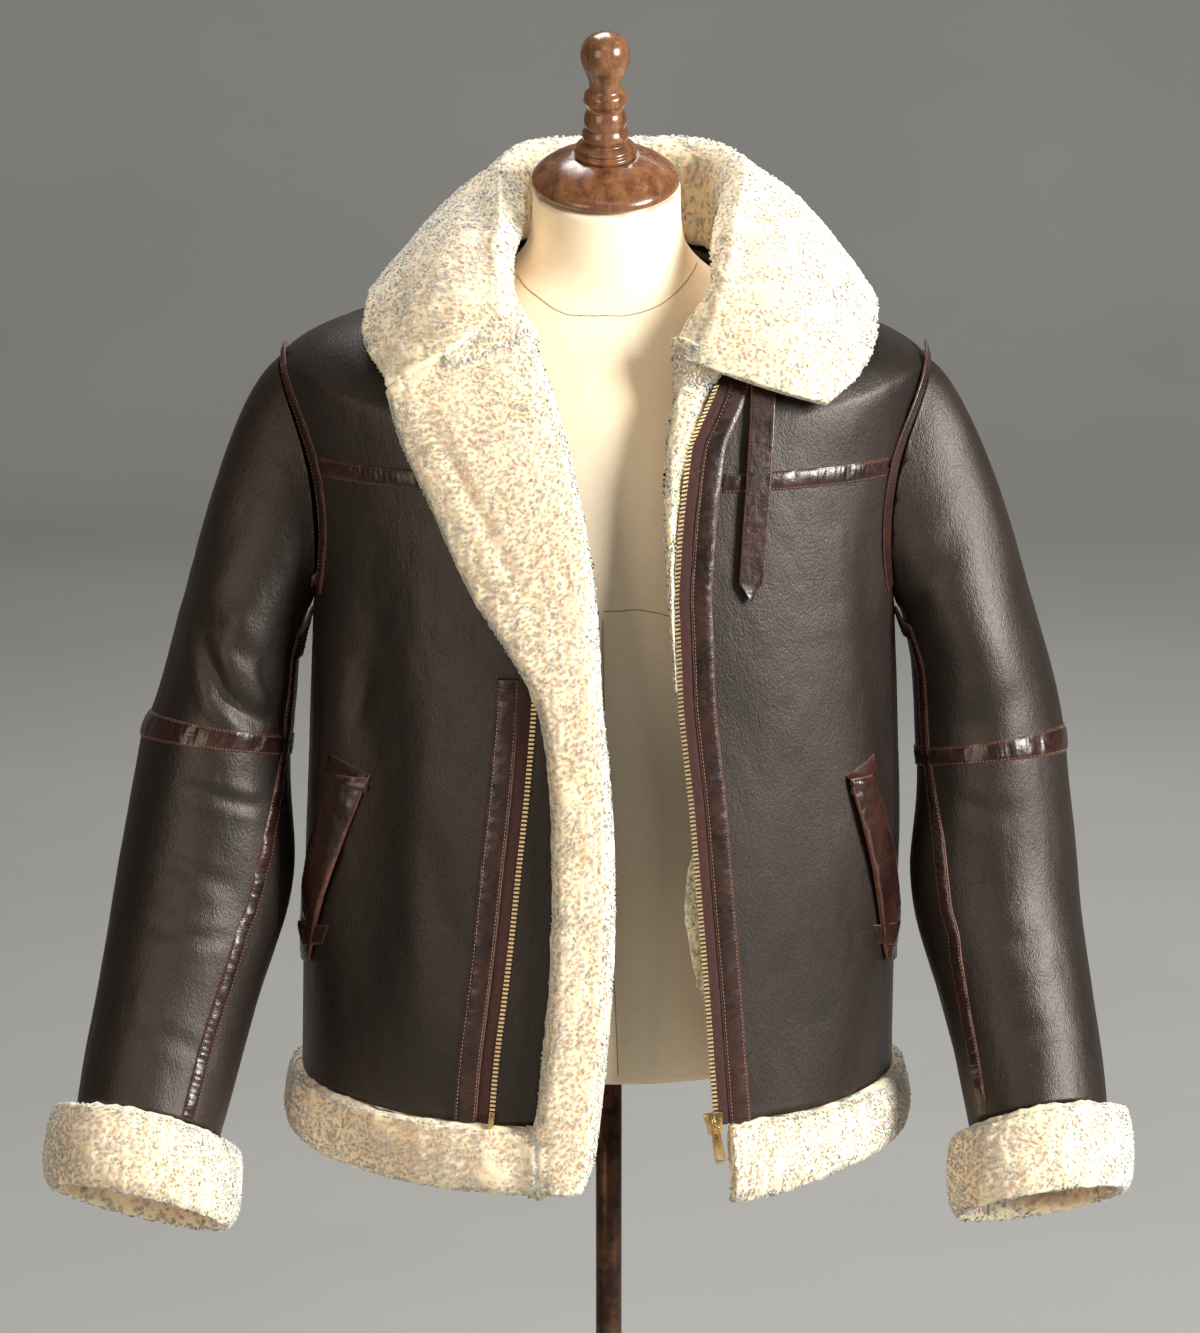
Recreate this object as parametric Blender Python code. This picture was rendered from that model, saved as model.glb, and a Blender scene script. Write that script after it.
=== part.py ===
"""A shearling coat hanging open on a limbless dress form with a pole and a round base.

Lengths in this file are millimetres and are scaled to metres when a mesh is made. Up is +Z,
the open front looks towards -Y and the wearer's left side is +X.
"""
import math

import bmesh
import bpy
import numpy as np

MM = 0.001
SEAM = 0.2              # half the gap left between two neighbouring panels
SHELL = 7.0             # thickness of a shearling panel, skin and short wool together
SLEEVE_WALL = 5.0
SQUARE = 2.3            # exponent of the rounded plan section of the body

# One row per section of the body, from the hem up to the neckline.
# side_z, half_width, front_y, front_z, back_y, back_z, mid_x
BODY_SECTIONS = np.array([
    (706, 238, -174, 692, 148, 706, -9),
    (757, 234, -171, 745, 144, 757, -9),
    (850, 233, -168, 842, 140, 852, -8),
    (930, 234, -166, 925, 136, 932, -5),
    (1010, 231, -163, 1006, 134, 1010, -4),
    (1070, 229, -160, 1066, 134, 1068, -4),
    (1116, 227, -157, 1112, 135, 1116, -4),
    (1178, 229, -151, 1171, 138, 1178, -4),
    (1240, 236, -142, 1235, 134, 1240, -4),
    (1316, 250, -132, 1268, 118, 1300, -4),
    (1341, 210, -124, 1290, 108, 1336, -4),
    (1357, 165, -113, 1310, 98, 1370, -4),
    (1372.5, 122, -101, 1326, 90, 1390, -4),
    (1386, 92, -90, 1340, 84, 1400, -4),
], float)
HEM_TOP, ARMPIT, SHOULDER, NECK = 1.0, 6.0, 9.0, 13.0
ARM_MID = 0.5 * (ARMPIT + SHOULDER)
ARM_HALF = 0.5 * (SHOULDER - ARMPIT)
ARM_FRONT, ARM_BACK = 20.0, 24.0        # half widths of the armhole in degrees
ARM_STEP = 18.0
YOKE = ARM_MID - ARM_HALF * math.cos(math.radians(108.0))

# Soft vertical folds of the body: plan angle, height, half angle, half height, depth.
FOLDS = [
    (-47, 985, 7, 150, -9.0),
    (-31, 960, 8, 170, 5.0),
    (-64, 960, 8, 150, 5.0),
    (38, 900, 7, 120, -3.5),
    (55, 930, 8, 130, 3.0),
    (150, 950, 9, 190, -6.0),
    (172, 930, 9, 200, 5.0),
    (-158, 950, 9, 190, -6.0),
    (-128, 950, 10, 170, 5.0),
    (128, 950, 10, 170, 5.0),
]

# Height against x of the lines that run down the open front.
LEFT_EDGE = [(690, 88), (750, 81), (848, 74), (1001, 61), (1060, 54), (1151, 50), (1210, 54),
             (1260, 60), (1312, 84), (1350, 88), (1420, 88)]
RIGHT_ZIP = [(690, -92), (742, -91), (800, -86), (868, -77), (927, -71), (1008, -62),
             (1085, -56), (1160, -62), (1240, -78), (1320, -100), (1420, -100)]
REVERS_INNER = [(690, -26), (700, -18), (715, -11), (770, -4), (850, 3), (917, 6), (1000, 3), (1070, -5),
                (1128, -7), (1166, -11), (1210, -18), (1253, -27), (1289, -38), (1325, -52),
                (1361, -66), (1420, -78)]
REVERS_OUTER = [(690, -50), (715, -54), (770, -55), (804, -50), (850, -45), (910, -42),
                (985, -43), (1028, -45), (1081, -56), (1119, -82), (1149, -104), (1179, -115),
                (1217, -133), (1247, -148), (1269, -159), (1300, -166), (1420, -166)]
RIGHT_EDGE_INSET = 13.0     # how far the leather stops short of the rolled wool edge

# Sections of the sleeves, wearer's left then right: centre x, y, z, half width, half depth,
# lean outwards and swing forwards in degrees. The fourth row is the seam at the elbow.
SLEEVE_LEFT = [
    (286.0, -6, 1084, 54, 76, 12, 5),
    (292.0, -8, 1046, 58, 75, 11, 5),
    (296.0, -11, 1019, 60, 74, 9, 7),
    (297.5, -13, 1010, 60, 74, 8, 8),
    (298.5, -15, 1001, 60, 74, 6, 9),
    (299.0, -20, 966, 63, 73, 4, 11),
    (299.5, -28, 928, 67, 72, 4, 14),
    (302.0, -39, 888, 67, 70, 8, 18),
    (309.5, -54, 850, 63, 67, 11, 21),
    (318.0, -70, 812, 60, 64, 12, 24),
    (326.0, -88, 774, 58, 61, 12, 25),
    (330.5, -107, 734, 55, 59, 10, 26),
]
SLEEVE_RIGHT = [
    (-289.5, -6, 1084, 51, 76, 12, 5),
    (-295.5, -8, 1050, 54, 75, 13, 5),
    (-300.5, -11, 1029, 57, 74, 10, 7),
    (-304.5, -13, 1020, 59, 74, 9, 8),
    (-306.0, -15, 1011, 60, 74, 8, 9),
    (-308.5, -20, 972, 65, 73, 6, 11),
    (-311.5, -28, 930, 70, 72, 8, 14),
    (-317.5, -39, 892, 70, 70, 12, 18),
    (-327.0, -54, 854, 66, 67, 14, 21),
    (-336.5, -70, 816, 63, 64, 15, 24),
    (-347.0, -89, 774, 61, 61, 15, 25),
    (-355.5, -109, 731, 58, 59, 14, 26),
]
ELBOW_ROW = 3
SLEEVE_COLUMNS = 20
FAN_STEPS = (0.0, 0.10, 0.24, 0.42, 0.62, 0.82, 1.0)
# Creases across a sleeve: row height, angle round the sleeve, half height, half angle, depth.
SLEEVE_FOLDS = [
    (955, 150, 13, 70, -4.5),
    (925, 130, 12, 60, 3.5),
    (903, 120, 11, 60, -4.0),
    (868, 60, 16, 70, 2.5),
    (835, 150, 12, 60, -3.0),
    (795, 120, 13, 70, -3.0),
    (1130, 60, 30, 40, -3.0),
    (1070, 20, 26, 50, 2.0),
]
# Turned-back cuffs below the last sleeve section: half width, half depth, height, drift in X.
CUFF_LEFT = (74, 71, 66, -9.0)
CUFF_RIGHT = (79, 72, 66, 9.0)
# Angle round the sleeve of the inner seam tape: at the armhole, the elbow, below it, the wrist.
SEAM_TURNS = {"left": (156, 152, 134, 130, 138, 145), "right": (156, 158, 134, 126, 123, 122)}

# Stations round the collar, from the wearer's left end over the back to the right end:
# base x, y, z, fold x, y, z, fall x, y, z, edge x, y, z and the radius of the fold.
COLLAR_T = 14.0
COLLAR_STATIONS = [
    (47, -111, 1326, 64, -118, 1320, 114, -128, 1304, 163, -121, 1291, 4),
    (66, -93, 1364, 83, -102, 1361, 132, -115, 1338, 189, -100, 1312, 6),
    (92, -74, 1370, 91, -72, 1402, 140, -84, 1382, 200, -70, 1332, 11),
    (98, -40, 1389, 97, -34, 1431, 148, -44, 1410, 203, -35, 1352, 12),
    (101, 2, 1396, 103, 6, 1452, 151, 2, 1421, 200, 6, 1360, 13),
    (90, 48, 1408, 93, 48, 1464, 136, 64, 1432, 178, 66, 1362, 13),
    (58, 80, 1408, 58, 76, 1471, 84, 112, 1438, 114, 126, 1370, 13),
    (-2, 94, 1410, -2, 84, 1471, -2, 122, 1437, -2, 136, 1374, 13),
    (-60, 80, 1408, -58, 76, 1470, -84, 112, 1436, -114, 126, 1370, 13),
    (-88, 48, 1408, -80, 48, 1457, -122, 62, 1426, -168, 66, 1362, 13),
    (-96, 2, 1396, -84, 6, 1444, -130, 2, 1412, -182, 6, 1360, 13),
    (-92, -42, 1385, -81, -34, 1426, -127, -44, 1402, -182, -34, 1352, 12),
    (-80, -76, 1366, -85, -72, 1398, -126, -84, 1377, -184, -76, 1330, 10),
    (-64, -99, 1361, -82, -108, 1353, -120, -119, 1331, -164, -114, 1304, 5),
]

# Sections of the dress form: height, half width, front y, back y.
FORM_SECTIONS = [
    (759, 148, -96, 92), (766, 154, -100, 96), (812, 160, -104, 100), (880, 150, -100, 98),
    (950, 128, -90, 86), (1005, 120, -86, 80), (1070, 138, -100, 88), (1135, 156, -111, 96),
    (1200, 170, -109, 99), (1255, 182, -99, 96), (1295, 186, -86, 86), (1318, 183, -78, 74),
    (1335, 172, -74, 64), (1349.5, 148, -71, 58), (1363.5, 117, -69, 52), (1376, 88, -69, 47),
    (1386.5, 74, -70, 43), (1395, 65, -71, 40), (1406, 59, -73, 37), (1422, 57, -76, 35),
    (1446.5, 56.5, -80, 33),
]
CAP_CENTRE = (-3.0, -25.0, 1452.5)
CAP_LEAN = 20.5
# Turned profile of the neck cap and of the finial: radius, height above the cap centre.
CAP_PROFILE = [(54.5, -4.5), (56.5, -3), (57, -0.5), (56, 2), (52, 6), (46, 10.5), (36, 15.5),
               (26, 19)]
FINIAL_PROFILE = [(24, 19.4), (24.5, 22), (22, 24), (23, 26.3), (20, 29), (17, 30.8),
                  (18.4, 35), (17.5, 39.5), (15.6, 42), (16.8, 47), (16.2, 52.5), (14, 56.5),
                  (14.5, 59.5), (17, 64), (16, 69.5), (12.4, 73), (12.2, 78), (14.5, 85.5),
                  (18, 93), (19.6, 100), (18.6, 107.5), (14.5, 113.5), (8, 117.2), (2, 118.4)]
POLE_R = 10.5
BASE_R = 185.0


def clear_scene():
    """Empty the file."""
    for item in list(bpy.data.objects):
        bpy.data.objects.remove(item, do_unlink=True)


def material(name, color, roughness, metallic=0.0):
    """A plain Principled material."""
    mat = bpy.data.materials.new(name)
    mat.use_nodes = True
    shader = mat.node_tree.nodes["Principled BSDF"]
    shader.inputs["Base Color"].default_value = (*color, 1.0)
    shader.inputs["Roughness"].default_value = roughness
    shader.inputs["Metallic"].default_value = metallic
    return mat


def add_mesh(name, points, faces, look):
    """One named object from millimetre points, with its faces turned outwards."""
    mesh = bpy.data.meshes.new(name)
    mesh.from_pydata([tuple(float(c) * MM for c in p) for p in points], [], faces)
    shape = bmesh.new()
    shape.from_mesh(mesh)
    bmesh.ops.triangulate(shape, faces=[f for f in shape.faces if len(f.verts) == 4])
    bmesh.ops.recalc_face_normals(shape, faces=shape.faces[:])
    if shape.calc_volume(signed=True) < 0:
        bmesh.ops.reverse_faces(shape, faces=shape.faces[:])
    shape.to_mesh(mesh)
    shape.free()
    obj = bpy.data.objects.new(name, mesh)
    obj.data.materials.append(material(name, *LOOKS[look]))
    bpy.context.collection.objects.link(obj)
    return obj


def unit(v):
    """Rows scaled to length one."""
    return v / np.maximum(np.linalg.norm(v, axis=-1, keepdims=True), 1e-9)


def smooth(table, x):
    """Cubic interpolation through table rows at the fractional row numbers x."""
    table = np.asarray(table, float)
    x = np.clip(np.asarray(x, float), 0, len(table) - 1)
    i = np.minimum(x.astype(int), len(table) - 2)
    u = (x - i)[..., None]
    slope = np.gradient(table, axis=0)
    a, b = table[i], table[i + 1]
    ma, mb = slope[i], slope[i + 1]
    return ((2 * u ** 3 - 3 * u ** 2 + 1) * a + (u ** 3 - 2 * u ** 2 + u) * ma
            + (-2 * u ** 3 + 3 * u ** 2) * b + (u ** 3 - u ** 2) * mb)


def line_x(table, z):
    """x of a front line at height z."""
    rows = np.array(table, float)
    return np.interp(z, rows[:, 0], rows[:, 1])


def body(theta, t):
    """Points of the body at plan angles theta (degrees, 0 in front) and sections t."""
    theta, t = np.broadcast_arrays(np.asarray(theta, float), np.asarray(t, float))
    row = smooth(BODY_SECTIONS, t)
    side_z, half, front_y, front_z, back_y, back_z, mid = np.moveaxis(row, -1, 0)
    a = np.radians(theta)
    s, c = np.sin(a), np.cos(a)
    power = 2.0 / SQUARE
    sx = np.sign(s) * np.abs(s) ** power
    cy = np.abs(c) ** power
    x = mid + half * sx
    y = np.where(c > 0, front_y, back_y) * cy
    z = side_z * s ** 2 + np.where(c > 0, front_z, back_z) * (1 - s ** 2)
    push = np.zeros_like(x)
    for angle, height, half_angle, half_height, depth in FOLDS:
        turn = (theta - angle + 180.0) % 360.0 - 180.0
        push = push + depth * np.exp(-(turn / half_angle) ** 2 - ((z - height) / half_height) ** 2)
    return np.stack([x + push * s, y - push * c, z], axis=-1)


def body_normal(theta, t):
    """Outward unit normals of the body."""
    theta, t = np.broadcast_arrays(np.asarray(theta, float), np.asarray(t, float))
    lo, hi = np.maximum(t - 0.03, 0.0), np.minimum(t + 0.03, NECK)
    across = body(theta + 1.5, t) - body(theta - 1.5, t)
    up = body(theta, hi) - body(theta, lo)
    return unit(np.cross(across, up))


def angle_at(x, t):
    """Plan angle of the front point with the given x on section t."""
    row = smooth(BODY_SECTIONS, t)
    share = np.clip((np.asarray(x, float) - row[..., 6]) / row[..., 1], -0.999, 0.999)
    return np.degrees(np.arcsin(np.sign(share) * np.abs(share) ** (SQUARE / 2.0)))


def front_x(table, t, shift=0.0):
    """x on section t of a front line given as x against height."""
    x = line_x(table, smooth(BODY_SECTIONS, t)[..., 3]) + shift
    for _ in range(3):
        x = line_x(table, body(angle_at(x, t), t)[..., 2]) + shift
    return x


def front_line(table, t, shift=0.0):
    """Plan angle at section t of a front line given as x against height."""
    return angle_at(front_x(table, t, shift), t)


def section_at(theta, z):
    """Section number at which the body reaches height z at plan angle theta."""
    lo, hi = 0.0, NECK
    for _ in range(40):
        mid = 0.5 * (lo + hi)
        if body(theta, mid)[2] < z:
            lo = mid
        else:
            hi = mid
    return 0.5 * (lo + hi)


def arm_angle(t, front):
    """Plan angle at which the armhole starts on section t; 90 outside the armhole."""
    share = np.clip((t - ARM_MID) / ARM_HALF, -1, 1)
    width = (ARM_FRONT if front else ARM_BACK) * math.sqrt(max(0.0, 1 - share * share))
    return 90.0 - width if front else 90.0 + width


def arm_rows(first, last):
    """Section numbers of the armhole stations between two of its angles."""
    count = int(round((last - first) / ARM_STEP))
    return [ARM_MID - ARM_HALF * math.cos(math.radians(first + k * ARM_STEP))
            for k in range(count + 1)]


def slab(outer, inner):
    """Closed body between two grids of points of the same shape."""
    rows, cols = outer.shape[:2]
    points = np.concatenate([outer.reshape(-1, 3), inner.reshape(-1, 3)])
    shift = rows * cols
    faces = []
    for r in range(rows - 1):
        for c in range(cols - 1):
            a, b = r * cols + c, r * cols + c + 1
            d, e = a + cols, b + cols
            faces.append((a, b, e, d))
            faces.append((a + shift, d + shift, e + shift, b + shift))
    rim = [c for c in range(cols)]
    rim += [r * cols + cols - 1 for r in range(1, rows)]
    rim += [(rows - 1) * cols + c for c in range(cols - 2, -1, -1)]
    rim += [r * cols for r in range(rows - 2, 0, -1)]
    for k, a in enumerate(rim):
        b = rim[(k + 1) % len(rim)]
        faces.append((a, a + shift, b + shift, b))
    return points, faces


def tube(rings, closed=False, caps=True):
    """Skin over rings of the same number of points; closed joins the last ring to the first."""
    rings = np.asarray(rings, float)
    count, around = rings.shape[:2]
    faces = []
    for r in range(count if closed else count - 1):
        s = (r + 1) % count
        for k in range(around):
            j = (k + 1) % around
            faces.append((r * around + k, r * around + j, s * around + j, s * around + k))
    if caps and not closed:
        faces.append(tuple(range(around)))
        faces.append(tuple((count - 1) * around + k for k in range(around)))
    return rings.reshape(-1, 3), faces


def grid_normals(grid, wrap=False):
    """Unit normals of a grid of points, along rows crossed with columns."""
    if wrap:
        across = np.roll(grid, -1, axis=1) - np.roll(grid, 1, axis=1)
    else:
        across = np.gradient(grid, axis=1)
    along = np.gradient(grid, axis=0)
    return unit(np.cross(across, along))


def body_slab(name, thetas, sections, shifts, look="leather"):
    """Panel of the body: rows of plan angles at the given sections, moved by small shifts."""
    thetas = np.array(thetas)
    sections = np.array(sections)[:, None] * np.ones_like(thetas)
    outer = body(thetas, sections) + shifts
    inner = outer - SHELL * body_normal(thetas, sections)
    add_mesh(name, *slab(outer, inner), look)
    return outer


def spread(first, last, count):
    """Evenly spaced values without the first one."""
    return [first + (last - first) * k / count for k in range(1, count + 1)]


LOWER_ROWS = [1.0, 1.5, 2.0, 2.6, 3.2, 3.8, 4.4, 5.0, 5.5] + arm_rows(0, 108)
YOKE_ROWS = arm_rows(108, 180) + [9.6, 10.3, 11.0, 11.9, 12.7]
LEFT_MARKS = (0.0, 10.0, 27.0)          # distances from the left edge: zip tape, strip
RIGHT_MARKS = (-28.0, -10.0, 3.0)       # distances from the right zip line: strip, tape


def narrowing(t):
    """Share by which the marked columns close up towards the neck."""
    return 1.0 if t < 10 else max(0.15, 1.0 - 0.33 * (t - 10))


def left_angles(t, side, steps):
    """Plan angles of the wearer's left front at section t, from its edge to its side."""
    marks = [float(front_line(LEFT_EDGE, t, d * narrowing(t))) for d in LEFT_MARKS]
    return marks + spread(marks[-1], side, steps)


def right_angles(t, side, steps):
    """Plan angles of the wearer's right front at section t, from its edge to its side."""
    edge_x = float(front_x(REVERS_INNER, t, -RIGHT_EDGE_INSET))
    zip_x = float(front_x(RIGHT_ZIP, t))
    edge = float(angle_at(edge_x, t))
    marks = [float(angle_at(edge_x + (zip_x + d - edge_x) * narrowing(t), t))
             for d in reversed(RIGHT_MARKS)]
    first = [edge, 0.5 * (edge + marks[0])]
    return first + marks + spread(marks[-1], side, steps)


def seam_shifts(thetas, sections, low, high, side):
    """Small moves that open the seams: up or down at the end rows, along Y at the sides."""
    shifts = np.zeros((len(sections), len(thetas[0]), 3))
    shifts[0, :, 2] += low * SEAM
    shifts[-1, :, 2] += high * SEAM
    for r, t in enumerate(sections):
        if t <= ARMPIT + 1e-6 or t >= SHOULDER - 1e-6:
            shifts[r, -1, 1] += side * SEAM
            if side > 0:
                shifts[r, 0, 1] += side * SEAM
    return shifts


def fronts():
    """Two lower fronts and two yokes; returns the outer grids by side."""
    grids = {}
    for side, angles, steps in (("left", left_angles, 8), ("right", right_angles, 9)):
        turn = 1.0 if side == "left" else -1.0
        parts = []
        for part, rows, low, high in (("lower", LOWER_ROWS, 1, -1), ("yoke", YOKE_ROWS, 1, 0)):
            thetas = [angles(t, turn * arm_angle(t, True), steps) for t in rows]
            shifts = seam_shifts(thetas, rows, low, high, -1)
            parts.append(body_slab(f"front_{side}_{part}", thetas, rows, shifts))
        grids[side] = parts
    return grids


def back():
    """The back panel in one piece."""
    rows = LOWER_ROWS + YOKE_ROWS[1:]
    thetas = []
    for t in rows:
        start = arm_angle(t, False)
        thetas.append([start] + spread(start, 360.0 - start, 14))
    shifts = seam_shifts(thetas, rows, 1, 0, 1)
    return body_slab("back_panel", thetas, rows, shifts)


def ribbon(name, left, right, normals, lift, thickness, look="tape", middle=0.0):
    """Flat band between two edge polylines, raised by lift, with an optional arched middle."""
    left, right = np.asarray(left), np.asarray(right)
    mid = 0.5 * (left + right) + normals * middle
    under = np.stack([left, mid, right], axis=1) + normals[:, None] * lift
    over = under + normals[:, None] * thickness
    return add_mesh(name, *slab(over, under), look)


def along_grid(grid, columns, distance, marks):
    """Points of a panel grid at a distance between its marked columns."""
    k = max(i for i in range(len(marks) - 1) if marks[i] <= distance + 1e-6)
    f = (distance - marks[k]) / (marks[k + 1] - marks[k])
    return grid[:, columns[k]] * (1 - f) + grid[:, columns[k + 1]] * f


def zips(grids):
    """Zip tapes and the leather strips sewn beside them."""
    lower, yoke = grids["left"]
    grid = np.concatenate([lower, yoke[1:7]])
    normals = grid_normals(grid)[:, 1]
    if normals[4, 1] > 0:
        normals = -normals
    cols = (0, 1, 2)
    edge = along_grid(grid, cols, 0.0, LEFT_MARKS)
    past = unit(edge - grid[:, 1]) * 1.5
    stop = len(grid)
    sets = [("zip_tape_left", edge + past, along_grid(grid, cols, 9.2, LEFT_MARKS), 1.2),
            ("zip_strip_left", along_grid(grid, cols, 10.4, LEFT_MARKS),
             along_grid(grid, cols, 26.4, LEFT_MARKS), 1.6)]
    for name, a, b, thick in sets:
        look = "zip_cloth" if "tape" in name else "tape"
        ribbon(name, a[:stop], b[:stop], normals[:stop], 0.8, thick, look)
    lower = grids["right"][0]
    count = 9
    normals = grid_normals(lower)[:, 3]
    if normals[4, 1] > 0:
        normals = -normals
    marks = (0.0, 13.0, 31.0)
    cols = (2, 3, 4)
    a = along_grid(lower, cols, 0.6, marks)
    b = along_grid(lower, cols, 12.4, marks)
    c = along_grid(lower, cols, 13.6, marks)
    d = along_grid(lower, cols, 30.4, marks)
    ribbon("zip_tape_right", a[:count], b[:count], normals[:count], 0.8, 1.2, "zip_cloth")
    ribbon("zip_strip_right", c[:count], d[:count], normals[:count], 0.8, 1.6, "tape")


def yoke_tapes():
    """Tapes over the seams between the yokes and the lower fronts."""
    for side, turn in (("left", 1.0), ("right", -1.0)):
        table, shift = (LEFT_EDGE, 28.5) if side == "left" else (REVERS_OUTER, 16.0)
        arm = turn * (arm_angle(YOKE, True) - 6.8)
        start = float(front_line(table, YOKE, shift))
        rows = []
        for k in range(15):
            theta = start + (arm - start) * k / 14
            low = body(theta, section_at(theta, body(theta, YOKE)[2] - 7.2))
            high = body(theta, section_at(theta, body(theta, YOKE)[2] + 7.2))
            rows.append((low, body(theta, YOKE), high, body_normal(theta, YOKE)))
        low, mid, high, normal = (np.array([r[i] for r in rows]) for i in range(4))
        under = np.stack([low, mid, high], axis=1) + normal[:, None] * 1.3
        over = under + normal[:, None] * 1.5
        add_mesh(f"yoke_tape_{side}", *slab(over, under), "tape")


def arm_tapes():
    """Tapes on the body along the front and top of each armhole."""
    for side, turn in (("left", 1.0), ("right", -1.0)):
        rows = []
        for k in range(15):
            phi = 46.0 + (172.0 - 46.0) * k / 14
            t = ARM_MID - ARM_HALF * math.cos(math.radians(phi))
            theta = turn * arm_angle(t, True)
            edge, normal = body(theta, t), body_normal(theta, t)
            ahead = body(turn * arm_angle(t + 0.02, True), t + 0.02) - edge
            into = unit(np.cross(normal, unit(ahead))) * turn
            rows.append((edge + into * 0.8, edge + into * 12.8, normal, theta, t))
        near = np.array([r[0] for r in rows])
        far = np.array([r[1] for r in rows])
        normal = np.array([r[2] for r in rows])
        far = push_out(far, 1.2)
        mid = push_out(0.5 * (near + far), 1.2)
        near = push_out(near, 1.2)
        under = np.stack([near, mid, far], axis=1)
        over = under + normal[:, None] * 1.5
        add_mesh(f"armhole_tape_{side}", *slab(over, under), "tape")


def body_cloud():
    """Dense samples of the body skin with their normals."""
    theta, t = np.meshgrid(np.arange(-180, 180, 2.0), np.arange(0, NECK + 0.01, 0.08))
    return body(theta, t).reshape(-1, 3), body_normal(theta, t).reshape(-1, 3)


def push_out(points, clear, seat=False):
    """Move points clear of the body skin by the given distance, or to just that distance."""
    flat = np.array(points, float).reshape(-1, 3)
    for k, p in enumerate(flat):
        near = CLOUD[0] - p
        i = int(np.argmin((near * near).sum(axis=1)))
        depth = float((p - CLOUD[0][i]) @ CLOUD[1][i])
        if depth < clear or seat:
            flat[k] = p + (clear - depth) * CLOUD[1][i]
    return flat.reshape(np.shape(points))


def cushion(share, width, thick):
    """Height of a rounded band at a share of its width."""
    edge = min(0.5, 0.75 * thick / width)
    d = min(share, 1 - share) / edge
    return 1.0 if d >= 1 else math.sqrt(max(0.0, 1 - (1 - d) ** 2))


def revers():
    """The rolled wool edge and lapel of the wearer's right front."""
    rows = []
    heights = [697, 708, 730, 760, 800, 850, 900, 950, 1000, 1040, 1075, 1105, 1135, 1165,
               1195, 1225, 1252, 1275, 1294]
    shares = (0.0, 0.04, 0.14, 0.3, 0.5, 0.7, 0.86, 0.96, 1.0)
    thick = 14.0
    for k, z in enumerate(heights):
        climb = 46.0 * max(0.0, (z - 1180.0) / 114.0) ** 1.5
        inner_x = float(line_x(REVERS_INNER, z + climb))
        outer_x = float(line_x(REVERS_OUTER, z))
        width = inner_x - outer_x
        row_low, row_high = [], []
        for share in shares:
            x = outer_x + share * width
            rise = share * climb
            guess = 6.0
            for _ in range(12):
                theta = float(angle_at(x, guess))
                guess = section_at(theta, z + rise)
            theta = float(angle_at(x, guess))
            p, n = body(theta, guess), body_normal(theta, guess)
            high = cushion(share, width, thick) * thick
            row_low.append(p + n * 3.6)
            row_high.append(p + n * (5.0 + 0.95 * high))
        rows.append((row_low, row_high))
    under = np.array([r[0] for r in rows])
    over = np.array([r[1] for r in rows])
    add_mesh("lapel_right", *slab(over, under), "wool")


def facing():
    """The narrow wool wedge beside the top of the left zip."""
    inner = [(1080, 50), (1150, 44), (1195, 41), (1238, 40), (1275, 43), (1300, 48), (1316, 52)]
    low, high = [], []
    for k, (z, x_in) in enumerate(inner):
        x_out = float(line_x(LEFT_EDGE, z)) - 3.0
        row_a, row_b = [], []
        for share in (0.0, 0.15, 0.5, 0.85, 1.0):
            x = x_in + share * (x_out - x_in)
            t = 8.0
            for _ in range(8):
                t = section_at(float(angle_at(x, t)), z)
            theta = float(angle_at(x, t))
            p, n = body(theta, t), body_normal(theta, t)
            rise = (2.0, 6.0, 8.0, 6.0, 2.0)[(0.0, 0.15, 0.5, 0.85, 1.0).index(share)]
            row_a.append(p - n * 6.0)
            row_b.append(p - n * 6.0 + n * rise)
        low.append(row_a)
        high.append(row_b)
    add_mesh("facing_left", *slab(np.array(high), np.array(low)), "wool")


def hem():
    """The wool band round the hem, from the left zip round the back to the lapel."""
    start = float(front_line(LEFT_EDGE, 0.5, 7.0))
    stop = 360.0 + float(front_line(REVERS_OUTER, 0.5, -1.2))
    profile = [(0.99, 3.0), (0.99, 9.0), (0.76, 12.5), (0.4, 13.0), (0.1, 10.0),
               (0.0, 3.0), (0.02, -4.0), (0.14, -7.0), (0.84, -7.0), (0.99, -4.0)]
    rings = []
    count = 38
    for k in range(count + 1):
        theta = start + (stop - start) * k / count
        sag = 9.0 * math.exp(-((theta - 26.0) / 20.0) ** 2)
        ring = []
        for share, out in profile:
            t = share * 0.992
            p = body(theta, t) + body_normal(theta, t) * out
            p[2] -= sag * max(0.0, 1.0 - 1.5 * share)
            ring.append(p)
        rings.append(ring)
    add_mesh("hem_band", *tube(rings), "wool")


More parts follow.
